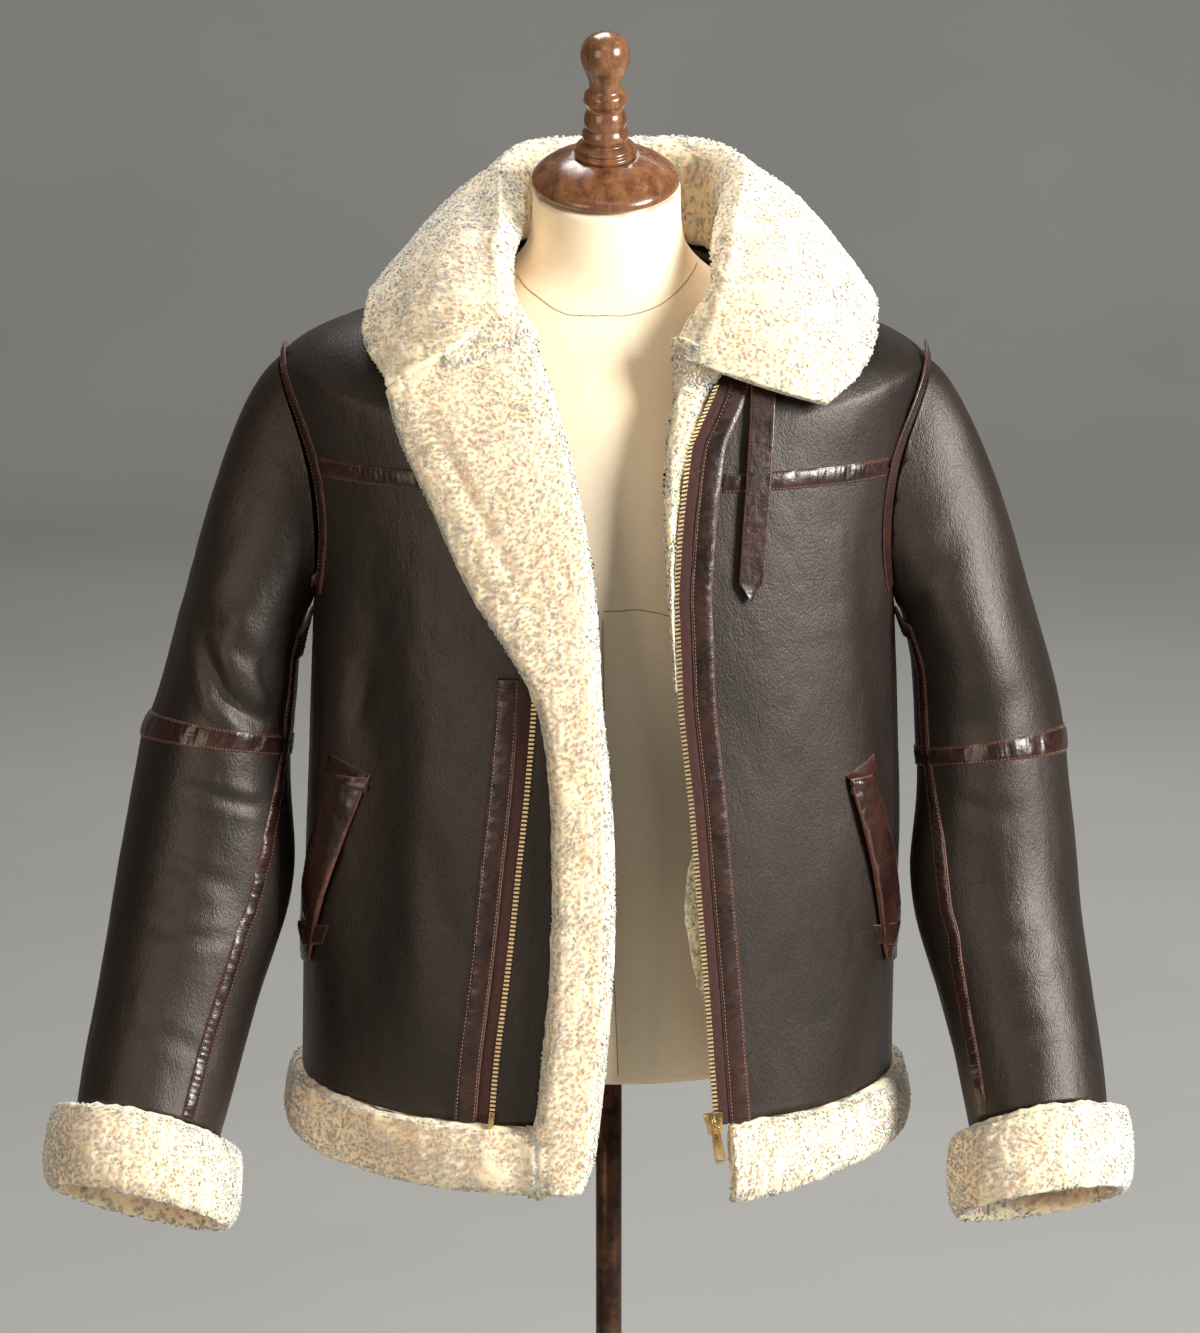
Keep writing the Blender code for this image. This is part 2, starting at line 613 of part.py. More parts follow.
def sleeve_rings(turn, table):
    """Outer rings of a sleeve from the armhole to the wrist."""
    hole, away = [], []
    centre = body(90.0 * turn, ARM_MID)
    for k in range(SLEEVE_COLUMNS):
        a = 360.0 * k / SLEEVE_COLUMNS
        front = a <= 180.0
        phi = 180.0 - a if front else a - 180.0
        t = ARM_MID - ARM_HALF * math.cos(math.radians(phi))
        theta = turn * arm_angle(t, front)
        p, n = body(theta, t), body_normal(theta, t)
        v = centre - p
        v = unit(v - n * float(v @ n))
        hole.append(p + v * 0.9 + n * 0.6)
        c = 0.5 + 0.5 * math.cos(math.radians(a))
        away.append(unit(np.array([turn * 1.0, 0.0, -0.45 - 0.5 * (1 - c)]) + 0.5 * n * (1 - c)))
    hole, away = np.array(hole), np.array(away)
    sections = []
    for row in table:
        centre, _, out, ahead = sleeve_frame(turn, row)
        ring = []
        for k in range(SLEEVE_COLUMNS):
            a = math.radians(360.0 * k / SLEEVE_COLUMNS)
            ring.append(centre + out * row[3] * math.cos(a) + ahead * row[4] * math.sin(a))
        sections.append(ring)
    sections = np.array(sections)
    first = sections[0]
    rise = unit(first - sections[1])
    share = np.array([0.5 + 0.5 * math.cos(2 * math.pi * k / SLEEVE_COLUMNS)
                      for k in range(SLEEVE_COLUMNS)])[:, None]
    p1 = hole + away * (5.0 + 36.0 * share)
    p2 = first + rise * (5.0 + 60.0 * share)
    rings = []
    for u in FAN_STEPS[:-1]:
        rings.append((1 - u) ** 3 * hole + 3 * (1 - u) ** 2 * u * p1
                     + 3 * (1 - u) * u ** 2 * p2 + u ** 3 * first)
    rings = np.concatenate([np.array(rings), sections])
    centres = rings.mean(axis=1, keepdims=True)
    angles = np.arange(SLEEVE_COLUMNS) * 360.0 / SLEEVE_COLUMNS
    for height, angle, half_height, half_angle, depth in SLEEVE_FOLDS:
        spin = (angles - angle + 180) % 360 - 180
        wave = depth * np.exp(-(spin[None, :] / half_angle) ** 2
                              - ((rings[..., 2] - height) / half_height) ** 2)
        rings = rings + unit(rings - centres) * wave[..., None]
    return rings


def wall_rings(rings, wall, turn):
    """Inner rings of a tube of the given wall, and the outward normals of the outer ones."""
    normals = grid_normals(rings, wrap=True)
    outward = rings - rings.mean(axis=1, keepdims=True)
    if float((normals * outward).sum()) < 0:
        normals = -normals
    return rings - normals * wall, normals


def shell(outer, inner):
    """Closed open-ended tube between outer and inner rings."""
    return tube(np.concatenate([outer, inner[::-1]]), closed=True)


def sleeves():
    """Upper and lower sleeves, their tapes and their turned-back cuffs."""
    for side, turn, table, cuff in (("left", 1.0, SLEEVE_LEFT, CUFF_LEFT),
                                    ("right", -1.0, SLEEVE_RIGHT, CUFF_RIGHT)):
        rings = sleeve_rings(turn, table)
        inner, normals = wall_rings(rings, SLEEVE_WALL, turn)
        elbow = len(FAN_STEPS) - 1 + ELBOW_ROW
        upper = rings[:elbow + 1].copy()
        upper_in = inner[:elbow + 1].copy()
        upper[-1, :, 2] += SEAM
        upper_in[-1, :, 2] += SEAM
        lower, lower_in = rings[elbow:].copy(), inner[elbow:].copy()
        lower[0, :, 2] -= SEAM
        lower_in[0, :, 2] -= SEAM
        add_mesh(f"sleeve_{side}_upper", *shell(upper, upper_in), "leather")
        add_mesh(f"sleeve_{side}_lower", *shell(lower, lower_in), "leather")
        band = slice(elbow - 1, elbow + 2)
        under = rings[band] + normals[band] * 0.7
        over = rings[band] + normals[band] * 2.2
        add_mesh(f"elbow_tape_{side}", *shell(over, under), "tape")
        seam_tape(f"seam_tape_{side}_upper", rings, normals, 1, elbow - 1, SEAM_TURNS[side][:2])
        seam_tape(f"seam_tape_{side}_lower", rings, normals, elbow + 1, len(rings) - 1,
                  SEAM_TURNS[side][1:])
        cuff_ring(f"cuff_{side}", turn, table[-1], cuff)


def on_ring(ring, turn):
    """Point of a ring polygon at an angle round it."""
    share = turn / 360.0 * SLEEVE_COLUMNS
    k = int(share)
    f = share - k
    return ring[k] * (1 - f) + ring[(k + 1) % SLEEVE_COLUMNS] * f


def seam_tape(name, rings, normals, first, last, turns):
    """Tape down the inner front of a sleeve between two of its rings."""
    under, over = [], []
    for r in np.linspace(first + 0.12, last - 0.12, 2 * (last - first) + 1):
        k = min(int(r), len(rings) - 2)
        f = r - k
        ring = rings[k] * (1 - f) + rings[k + 1] * f
        lift = unit(normals[k] * (1 - f) + normals[k + 1] * f)
        size = np.linalg.norm(ring - ring.mean(axis=0), axis=1).mean()
        turn = float(np.interp(r, np.linspace(first, last, len(turns)), turns))
        low, high = [], []
        for side in (-1, 0, 1):
            at = turn + side * math.degrees(5.8 / size)
            p, n = on_ring(ring, at), unit(on_ring(lift, at))
            low.append(p + n * 1.3)
            high.append(p + n * 2.8)
        under.append(low)
        over.append(high)
    add_mesh(name, *slab(np.array(over), np.array(under)), "tape")


def sleeve_frame(turn, row):
    """Centre and the down, outward and forward directions of a sleeve section."""
    cx, cy, cz, _, _, lean, swing = row
    lean, swing = math.radians(lean) * turn, math.radians(swing)
    down = unit(np.array([math.tan(lean), -math.tan(swing), -1.0]))
    out = unit(np.array([turn, 0.0, turn * down[0] / -down[2]]))
    ahead = unit(np.cross(down, out))
    if ahead[1] > 0:
        ahead = -ahead
    return np.array([cx, cy, cz], float), down, out, ahead


def cuff_ring(name, turn, row, size):
    """Thick rounded wool ring below a sleeve end."""
    top, down, out, ahead = sleeve_frame(turn, row)
    rx, ry, height, drift = size
    profile = [(0.012, -16.0), (0.0, -9.0), (0.05, -3.0), (0.28, 0.0), (0.62, 0.4),
               (0.88, -1.6), (1.0, -8.0), (0.98, -14.0), (0.88, -17.0), (0.5, -17.5)]
    rings = []
    for share, inset in profile:
        ring = []
        centre = top + down * (share * height + 0.1) + np.array([drift * share, 0.0, 0.0])
        for k in range(SLEEVE_COLUMNS):
            a = 2.0 * math.pi * k / SLEEVE_COLUMNS
            ring.append(centre + out * (rx + inset) * math.cos(a)
                        + ahead * (ry + inset) * math.sin(a))
        rings.append(ring)
    add_mesh(name, *tube(rings, closed=True), "wool")


def bend_radius(grid):
    """Radius of the circle through each point of a row and its two neighbours."""
    radius = np.full(grid.shape[:2], 1e3)
    a, b, c = grid[:, :-2], grid[:, 1:-1], grid[:, 2:]
    sides = [np.linalg.norm(u, axis=-1) for u in (b - a, c - b, c - a)]
    area = 0.5 * np.linalg.norm(np.cross(b - a, c - a), axis=-1)
    radius[:, 1:-1] = sides[0] * sides[1] * sides[2] / np.maximum(4 * area, 1e-3)
    return radius


def evened(path):
    """The same line of points with equal steps along it."""
    steps = np.linalg.norm(np.diff(path, axis=0), axis=1)
    along = np.concatenate([[0.0], np.cumsum(steps)])
    places = np.linspace(0.0, along[-1], len(path))
    return np.stack([np.interp(places, along, path[:, k]) for k in range(3)], axis=1)


def collar():
    """The large wool collar, standing at the neck and falling over the shoulders."""
    control = []
    for row in COLLAR_STATIONS:
        base, fold, fall, edge = np.array(row[:12], float).reshape(4, 3)
        outwards = unit((fall - fold) * (1, 1, 0))
        drop = np.array([0.0, 0.0, row[12]]) * min(1.0, row[12] / 9.0 - 0.3)
        back = base - fold
        stand = fold - outwards * row[12] - drop * 1.2
        if row[12] < 9:
            stand = fold + back * 0.45
        over = fold + outwards * row[12] - drop * 0.9
        control.append([base, stand, fold, over, fall, edge])
    control = np.array(control)
    steps = np.linspace(0, len(control) - 1, 34)
    paths = smooth(control.reshape(len(control), -1), steps).reshape(len(steps), 6, 3)
    shares = (0.0, 0.6, 1.2, 1.7, 2.1, 2.5, 3.0, 3.6, 4.2, 4.7, 5.0)
    centre = np.array([smooth(path, shares) for path in paths])
    centre[0] = 0.4 * centre[0] + 0.6 * evened(centre[0])
    centre[:, :1] = push_out(centre[:, :1], 1.4, seat=True)
    centre[:, 1:] = push_out(centre[:, 1:], 0.5 * COLLAR_T + 1.0)
    normals = grid_normals(centre)
    if normals[18, -2, 1] < 0:
        normals = -normals
    half = 0.5 * COLLAR_T * np.ones(len(shares))
    half[-1] *= 0.55
    half[0] *= 0.8
    widths = np.tile(half[None, :, None], (len(steps), 1, 1))
    widths[0] *= 0.6
    widths[-1] *= 0.6
    under = np.array((6.6, 3.8, 2.2, 1.6, 1.6, 1.8, 2.6, 4.6, 6.0, 5.0, 3.4))
    room = np.minimum(bend_radius(centre)[..., None] * 0.5, under[None, :, None])
    room[:5, :5] *= 0.45
    room[-5:, :5] *= 0.45
    widths[:5, :3] *= 0.7
    widths[-5:, :3] *= 0.7
    top = push_out(centre + normals * widths, 0.9)
    add_mesh("collar", *slab(top, push_out(centre - normals * room, 0.9)), "wool")


def strap():
    """Leather collar strap hanging on the wearer's left front."""
    rows = [(1312, 115), (1290, 114), (1268, 112.5), (1250, 111), (1232, 110), (1212, 108.5),
            (1190, 107), (1168, 105.5), (1156, 104.5), (1149, 104), (1145.5, 103.8)]
    widths = (9.2, 9.2, 9.2, 9.2, 9.2, 9.2, 9.2, 9.0, 8.6, 5.5, 1.5)
    lifts = (3.4, 3.4, 3.6, 3.8, 3.8, 3.6, 3.2, 3.0, 3.0, 3.0, 3.0)
    under, over = [], []
    for (z, x), width, lift in zip(rows, widths, lifts):
        low, high = [], []
        for d in (-1, 0, 1):
            px = x + d * width
            t = 7.0
            for _ in range(8):
                t = section_at(float(angle_at(px, t)), z)
            theta = float(angle_at(px, t))
            p, n = body(theta, t), body_normal(theta, t)
            low.append(p + n * lift)
            high.append(p + n * (lift + 2.2))
        under.append(low)
        over.append(high)
    add_mesh("collar_strap", *slab(np.array(over), np.array(under)), "tape")


def pockets():
    """Slanted pocket welts with the leather patch behind them."""
    rows = [(1004, 50.5, 58.0), (992, 51.5, 60.0), (985, 52.3, 61.5), (960, 55.0, 65.5),
            (930, 58.5, 70.0), (900, 62.5, 75.0), (875, 66.0, 78.5), (858, 69.0, 80.0),
            (848, 71.5, 80.0)]
    for side, turn in (("left", 1.0), ("right", -1.0)):
        under, over = [], []
        for z, a, b in rows:
            low, high = [], []
            for share in (0.0, 0.33, 0.67, 1.0):
                theta = turn * (a + (b - a) * share)
                t = section_at(theta, z)
                p, n = body(theta, t), body_normal(theta, t)
                low.append(p + n * 1.0)
                high.append(p + n * (3.2 + 1.6 * math.sin(math.pi * share)))
            under.append(low)
            over.append(high)
        add_mesh(f"pocket_{side}", *slab(np.array(over), np.array(under)), "tape")


def lathe(profile, centre, lean, steps=32):
    """Turned body round an axis that leans forwards, closed at both ends."""
    a = math.radians(lean)
    axis = np.array([0.0, -math.sin(a), math.cos(a)])
    side = np.array([1.0, 0.0, 0.0])
    ahead = np.cross(axis, side)
    rings = []
    for radius, height in profile:
        rings.append([np.array(centre) + axis * height
                      + radius * (side * math.cos(2 * math.pi * k / steps)
                                  + ahead * math.sin(2 * math.pi * k / steps))
                      for k in range(steps)])
    return tube(rings)


def dress_form():
    """Torso, neck cap, finial, pole and base."""
    rows = np.array(FORM_SECTIONS, float)
    rings = []
    for s in np.concatenate([[0.0, 0.5, 1.3], np.arange(2.0, len(rows))]):
        z, half, front, rear = smooth(rows, s)
        mid, deep = 0.5 * (front + rear), 0.5 * (rear - front)
        tilt = math.radians(CAP_LEAN) * max(0.0, (z - 1350.0) / 92.0)
        ring = []
        for k in range(28):
            a = 2 * math.pi * k / 28
            x, y = half * math.cos(a), deep * math.sin(a)
            ring.append((x - 2.0, mid + y * math.cos(tilt), z + y * math.sin(tilt)))
        rings.append(ring)
    add_mesh("form_torso", *tube(rings), "linen")
    add_mesh("neck_cap", *lathe(CAP_PROFILE, CAP_CENTRE, CAP_LEAN, 36), "wood")
    add_mesh("finial", *lathe(FINIAL_PROFILE, CAP_CENTRE, CAP_LEAN, 18), "wood")
    pole = [(POLE_R, 27.0), (POLE_R, 756.5), (POLE_R - 1.5, 758.2)]
    pole = [(18.0, 24.4), (18.0, 34.0), (15.0, 38.0), (POLE_R, 42.0)] + pole[1:]
    add_mesh("pole", *lathe(pole, (0.0, 0.0, 0.0), 0.0, 20), "bronze")
    base = [(BASE_R - 1.5, 0.0), (BASE_R, 2.0), (BASE_R, 9.0), (BASE_R - 4, 12.0),
            (100.0, 16.0), (36.0, 21.5), (32.0, 24.0)]
    add_mesh("base", *lathe(base, (0.0, 0.0, 0.0), 0.0, 36), "bronze")


def box_points(corners):
    """Eight corners and six faces of a box given by its low and high corner."""
    (x0, y0, z0), (x1, y1, z1) = corners
    points = [(x, y, z) for z in (z0, z1) for y in (y0, y1) for x in (x0, x1)]
    faces = [(0, 1, 3, 2), (4, 6, 7, 5), (0, 4, 5, 1), (2, 3, 7, 6), (0, 2, 6, 4), (1, 5, 7, 3)]
    return points, faces


def place(points, origin, spin):
    """Turn local points about Y by spin degrees and move them to the origin."""
    a = math.radians(spin)
    c, s = math.cos(a), math.sin(a)
    return [(origin[0] + x * c + z * s, origin[1] + y, origin[2] - x * s + z * c)
            for x, y, z in points]


def framed_plate(name, rows, half_hole, holes, y0, y1, origin, spin, look):
    """Plate in the XZ plane: rows of height and half width, with holes between given rows."""
    grid = [[(-w, z), (-half_hole, z), (half_hole, z), (w, z)] for z, w in rows]
    cells = {(r, c) for r in range(len(rows) - 1) for c in range(3) if not (c == 1 and r in holes)}
    index, points, faces = {}, [], []

    def corner(r, c, y):
        if (r, c, y) not in index:
            index[(r, c, y)] = len(points)
            points.append((grid[r][c][0], y, grid[r][c][1]))
        return index[(r, c, y)]

    for r, c in sorted(cells):
        ring = [(r, c), (r, c + 1), (r + 1, c + 1), (r + 1, c)]
        faces.append(tuple(corner(i, j, y0) for i, j in ring))
        faces.append(tuple(corner(i, j, y1) for i, j in reversed(ring)))
        beyond = [(r - 1, c), (r, c + 1), (r + 1, c), (r, c - 1)]
        for k, cell in enumerate(beyond):
            if cell not in cells:
                (i, j), (m, n) = ring[k], ring[(k + 1) % 4]
                faces.append((corner(i, j, y0), corner(i, j, y1), corner(m, n, y1),
                              corner(m, n, y0)))
    return add_mesh(name, place(points, origin, spin), faces, look)


def hardware():
    """Zip slider with its bridge, the hinged pull, the stop box and the pin."""
    surface = body(float(front_line(LEFT_EDGE, 1.02)), 1.02)
    origin = (79.5, float(surface[1]) - 3.1, 749.0)
    spin = -10.0
    steps = [(-8.0, 5.2), (-6.0, 6.0), (0.0, 6.2), (4.0, 7.0), (8.5, 7.4)]
    low, high = [], []
    for z, w in steps:
        low.append([(-w, 0.0, z), (0.0, 0.0, z), (w, 0.0, z)])
        high.append([(-w, -3.2, z), (0.0, -3.8, z), (w, -3.2, z)])
    points, faces = slab(np.array(high, float), np.array(low, float))
    add_mesh("zip_slider", place([tuple(p) for p in points], origin, spin), faces, "brass")
    arch = [(-3.9, 6.0), (-6.6, 5.4), (-7.9, 3.2), (-8.0, -3.6), (-6.6, -5.6), (-3.9, -6.0)]
    hollow = [(-3.9, 4.4), (-5.6, 4.2), (-6.7, 2.8), (-6.7, -3.2), (-5.6, -4.2), (-3.9, -4.4)]
    rings = []
    for (y, z), (hy, hz) in zip(arch, hollow):
        rings.append([(-1.2, y - 0.15, z), (1.2, y - 0.15, z), (1.2, hy - 0.15, hz),
                      (-1.2, hy - 0.15, hz)])
    points, faces = tube(rings)
    add_mesh("slider_bridge", place([tuple(p) for p in points], origin, spin), faces, "brass")
    pull_y = -5.35
    rows = [(-31.0, 3.2), (-30.0, 4.2), (-28.0, 4.3), (-24.0, 4.2), (-18.0, 3.9), (-11.0, 3.5),
            (-3.4, 3.4), (-2.1, 2.9)]
    framed_plate("zip_pull", rows, 1.75, (2, 5), pull_y - 0.6, pull_y + 0.6, origin, spin, "brass")
    points, faces = box_points(((-3.0, -3.4, -16.9), (3.0, -0.2, -8.5)))
    add_mesh("zip_box", place(points, origin, spin), faces, "brass")
    pin_at = body(float(front_line(RIGHT_ZIP, 1.03)), 1.03)
    points, faces = box_points(((-1.9, -3.6, -6.0), (1.9, -0.4, 6.0)))
    add_mesh("zip_pin", place(points, (float(pin_at[0]) + 1.0, float(pin_at[1]) - 2.6, 752.0), 6.0),
             faces, "brass")


# base colour, roughness, metallic
LOOKS = {
    "leather": ((0.045, 0.032, 0.027), 0.42, 0.0),
    "tape": ((0.16, 0.065, 0.035), 0.35, 0.0),
    "wool": ((0.80, 0.68, 0.50), 0.95, 0.0),
    "zip_cloth": ((0.24, 0.12, 0.10), 0.8, 0.0),
    "brass": ((0.62, 0.45, 0.20), 0.32, 1.0),
    "linen": ((0.78, 0.70, 0.58), 0.9, 0.0),
    "wood": ((0.30, 0.15, 0.07), 0.45, 0.0),
    "bronze": ((0.12, 0.08, 0.05), 0.4, 1.0),
}

clear_scene()
CLOUD = body_cloud()
GRIDS = fronts()
back()
zips(GRIDS)
yoke_tapes()
arm_tapes()
revers()
facing()
hem()
sleeves()
collar()
strap()
pockets()
dress_form()
hardware()
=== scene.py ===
"""Looks of a shearling coat hanging open on a limbless dress form.

Lengths in this file are millimetres and are scaled to metres when a mesh is made; lamps, the
camera and the flat sizes of sheets are in metres. +Z is up, the open front looks towards -Y, the
wearer's left side is +X, and "left" and "right" are the wearer's.
"""

import itertools
import math

import bmesh
import bpy
import numpy as np
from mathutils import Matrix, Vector
from mathutils.bvhtree import BVHTree
from mathutils.kdtree import KDTree


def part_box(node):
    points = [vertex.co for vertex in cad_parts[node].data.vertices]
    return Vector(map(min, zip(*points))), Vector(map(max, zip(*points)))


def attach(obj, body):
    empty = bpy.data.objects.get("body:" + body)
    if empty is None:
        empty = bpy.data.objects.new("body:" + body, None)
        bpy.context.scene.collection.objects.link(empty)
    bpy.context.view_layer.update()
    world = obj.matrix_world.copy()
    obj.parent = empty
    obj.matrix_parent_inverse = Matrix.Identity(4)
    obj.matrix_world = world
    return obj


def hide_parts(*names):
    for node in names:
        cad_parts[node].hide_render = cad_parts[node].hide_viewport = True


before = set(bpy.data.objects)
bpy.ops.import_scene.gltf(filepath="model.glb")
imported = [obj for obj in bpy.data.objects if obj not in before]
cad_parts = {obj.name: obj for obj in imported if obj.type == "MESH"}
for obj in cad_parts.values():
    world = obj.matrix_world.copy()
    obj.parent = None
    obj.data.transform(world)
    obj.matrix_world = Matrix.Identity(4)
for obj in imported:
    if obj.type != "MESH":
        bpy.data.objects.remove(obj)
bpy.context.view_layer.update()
MM = 0.001
COAT, PULL = "coat_and_form", "pull_tab"
RNG = np.random.default_rng(11)
WELD = 2e-6                      # points closer than this, in metres, are one point
SIDE_BEND = math.radians(38)     # the faces on one side of a sheet bend less than this


# ---------------------------------------------------------------- numbers and noise
def unit(v):
    """Rows scaled to length one."""
    return v / np.maximum(np.linalg.norm(v, axis=-1, keepdims=True), 1e-9)


def noise(p, size, seed):
    """Smooth random values from -1 to 1 at points p, in lumps of the given size."""
    q = np.asarray(p, float) / size
    i = np.floor(q).astype(np.int64)
    f = q - i
    f = f * f * (3 - 2 * f)
    total = np.zeros(len(q))
    for corner in itertools.product((0, 1), repeat=3):
        k = i + corner
        h = k[:, 0] * 73856093 ^ k[:, 1] * 19349663 ^ k[:, 2] * 83492791 ^ seed * 40503
        h = ((h ^ (h >> 13)) * 1274126177) & 0xFFFFFFFF
        value = ((h ^ (h >> 16)) & 0xFFFF) / 32767.5 - 1
        weight = np.prod(np.where(np.array(corner) == 1, f, 1 - f), axis=1)
        total += value * weight
    return total


def noise3(p, size, seed):
    """Three smooth random values at each point."""
    return np.stack([noise(p, size, seed + k) for k in range(3)], axis=1)


# ---------------------------------------------------------------- materials
class Look:
    """A material whose nodes are added one by one."""

    def __init__(self, name, color, rough, metal=0.0, **values):
        self.mat = bpy.data.materials.new(name)
        self.mat.use_nodes = True
        self.tree = self.mat.node_tree
        self.shader = self.tree.nodes["Principled BSDF"]
        self.shader.inputs["Base Color"].default_value = (*color, 1)
        self.shader.inputs["Roughness"].default_value = rough
        self.shader.inputs["Metallic"].default_value = metal
        for key, value in values.items():
            self.shader.inputs[key.replace("_", " ")].default_value = value
        self.relief = None

    def add(self, kind, inputs=None, **settings):
        """A node with its settings and its inputs linked or set."""
        node = self.tree.nodes.new(kind)
        for key, value in settings.items():
            setattr(node, key, value)
        for key, value in (inputs or {}).items():
            socket = node.inputs[key]
            if isinstance(value, bpy.types.NodeSocket):
                self.tree.links.new(value, socket)
            else:
                socket.default_value = value
        return node

    def place(self, stretch=(1, 1, 1), source="Object"):
        """Coordinates stretched along each axis."""
        at = self.add("ShaderNodeTexCoord").outputs[source]
        return self.add("ShaderNodeMapping", {"Vector": at, "Scale": stretch}).outputs["Vector"]

    def noise(self, at, scale, detail, rough=0.55, distort=0.0):
        """Cloudy values around a half."""
        node = self.add("ShaderNodeTexNoise", {"Vector": at, "Scale": scale, "Detail": detail,
                                               "Roughness": rough, "Distortion": distort})
        return node.outputs["Fac"]

    def cells(self, at, scale, feature="F1"):
        """Distance to the middle of the nearest cell."""
        node = self.add("ShaderNodeTexVoronoi", {"Vector": at, "Scale": scale}, feature=feature)
        return node.outputs["Distance"]

    def ramp(self, fac, low, high, a=0.0, b=1.0):
        """fac between low and high mapped to a..b, clamped."""
        node = self.add("ShaderNodeMapRange", {"Value": fac, "From Min": low, "From Max": high,
                                               "To Min": a, "To Max": b})
        return node.outputs["Result"]

    def math(self, op, a, b=0.0):
        """One sum on numbers or sockets."""
        return self.add("ShaderNodeMath", {0: a, 1: b}, operation=op).outputs[0]

    def mix(self, fac, a, b):
        """Colour between a and b."""
        node = self.add("ShaderNodeMix", data_type="RGBA")
        for socket, value in ((node.inputs[0], fac), (node.inputs[6], a), (node.inputs[7], b)):
            if isinstance(value, bpy.types.NodeSocket):
                self.tree.links.new(value, socket)
            elif isinstance(value, tuple):
                socket.default_value = (*value, 1)
            else:
                socket.default_value = value
        return node.outputs[2]

    def attribute(self, name):
        """The number that mark() has put at each vertex."""
        return self.add("ShaderNodeAttribute", attribute_name=name).outputs["Fac"]

    def color(self, value):
        """Links the base colour."""
        self.tree.links.new(value, self.shader.inputs["Base Color"])

    def rough(self, value):
        """Links the roughness."""
        self.tree.links.new(value, self.shader.inputs["Roughness"])

    def bump(self, height, distance, strength):
        """Adds relief, in millimetres, to what is there."""
        inputs = {"Height": height, "Distance": distance * MM, "Strength": strength}
        if self.relief is not None:
            inputs["Normal"] = self.relief
        self.relief = self.add("ShaderNodeBump", inputs).outputs["Normal"]
        self.tree.links.new(self.relief, self.shader.inputs["Normal"])


def leather_look():
    """Dark brown napa side of shearling: fine pebbled grain with a soft grey sheen."""
    m = Look("coat_leather", (0.02, 0.014, 0.011), 0.48, Specular_IOR_Level=0.5,
             Specular_Tint=(1.0, 0.92, 0.85, 1))
    wide = m.noise(m.place((1, 1, 0.62)), 9, 4)
    tall = m.place((1, 1, 0.45))
    grain = m.cells(tall, 950)
    pores = m.noise(tall, 620, 3, 0.6)
    tone = m.mix(m.ramp(wide, 0.35, 0.7), (0.0100, 0.0070, 0.0058), (0.0270, 0.0180, 0.0138))
    worn = m.ramp(m.noise(m.place(), 34, 5, 0.7), 0.60, 0.8, 0.0, 0.45)
    tone = m.mix(worn, tone, (0.052, 0.033, 0.024))
    tone = m.mix(m.ramp(grain, 0.25, 0.8, 0.0, 0.6), tone, (0.004, 0.0025, 0.002))
    m.color(tone)
    m.rough(m.ramp(m.math("ADD", wide, m.math("MULTIPLY", pores, 0.5)), 0.45, 1.1, 0.40, 0.54))
    m.bump(m.noise(m.place((1, 1, 0.4)), 55, 2, 0.5, 0.3), 0.8, 0.35)
    m.bump(m.noise(tall, 300, 2, 0.5, 0.4), 0.36, 0.7)
    m.bump(m.math("MULTIPLY", grain, -1.0), 0.28, 0.6)
    m.bump(pores, 0.16, 0.6)
    return m.mat


def trim_look():
    """Glossy red-brown glazed leather with pale raw edges and cross creases."""
    m = Look("coat_trim", (0.03, 0.012, 0.008), 0.3, Specular_IOR_Level=0.5)
    at = m.place()
    wide = m.noise(at, 26, 4)
    tone = m.mix(m.ramp(wide, 0.35, 0.68), (0.012, 0.0050, 0.0040), (0.036, 0.0135, 0.0098))
    fleck = m.ramp(m.noise(at, 300, 4, 0.7), 0.58, 0.74, 0, 0.4)
    tone = m.mix(fleck, tone, (0.085, 0.036, 0.025))
    edge = m.attribute("edge")
    worn = m.math("MULTIPLY", edge, m.ramp(m.noise(at, 160, 4, 0.7), 0.3, 0.6, 0.25, 1.0))
    m.color(m.mix(worn, tone, (0.20, 0.080, 0.052)))
    m.rough(m.ramp(m.math("ADD", m.noise(at, 180, 3), m.math("MULTIPLY", edge, 0.9)), 0.3, 1.3,
                   0.22, 0.62))
    m.bump(m.noise(at, 200, 3, 0.5, 0.6), 0.6, 0.5)
    m.bump(m.cells(at, 900), 0.12, 0.4)
    return m.mat


def wool_look(name, root, tip, deep):
    """Cream shearling pile: pale tips and slow random changes of tone, with painted shade in a
    deeper golden colour at lock roots, in hollows and between curls.
    """
    m = Look(name, tip, 0.95, Sheen_Weight=0.2, Sheen_Roughness=0.7, Subsurface_Weight=0.85,
             Subsurface_Radius=(0.009, 0.0055, 0.0028), Subsurface_Scale=1.0)
    at = m.place()
    up = m.attribute("pile")
    patch = m.noise(at, 22, 4)
    curls = m.cells(at, 230, "SMOOTH_F1")
    tone = m.mix(m.ramp(patch, 0.40, 0.75, 0.0, 0.75), tip, root)
    # painted shade: the deeper colour between the curls, where the relief is low
    tone = m.mix(m.ramp(curls, 0.35, 0.85, 0.0, 0.25), tone, deep)
    # painted shade: the deeper colour where the pile number is low, at the roots of the locks and
    # in the hollows of the shell
    tone = m.mix(m.ramp(up, 0.0, 0.6, 0.25, 0.0), tone, deep)
    m.color(tone)
    m.bump(m.math("MULTIPLY", curls, -1.0), 1.3, 0.45)
    m.bump(m.noise(at, 520, 3, 0.6), 0.4, 0.4)
    return m.mat


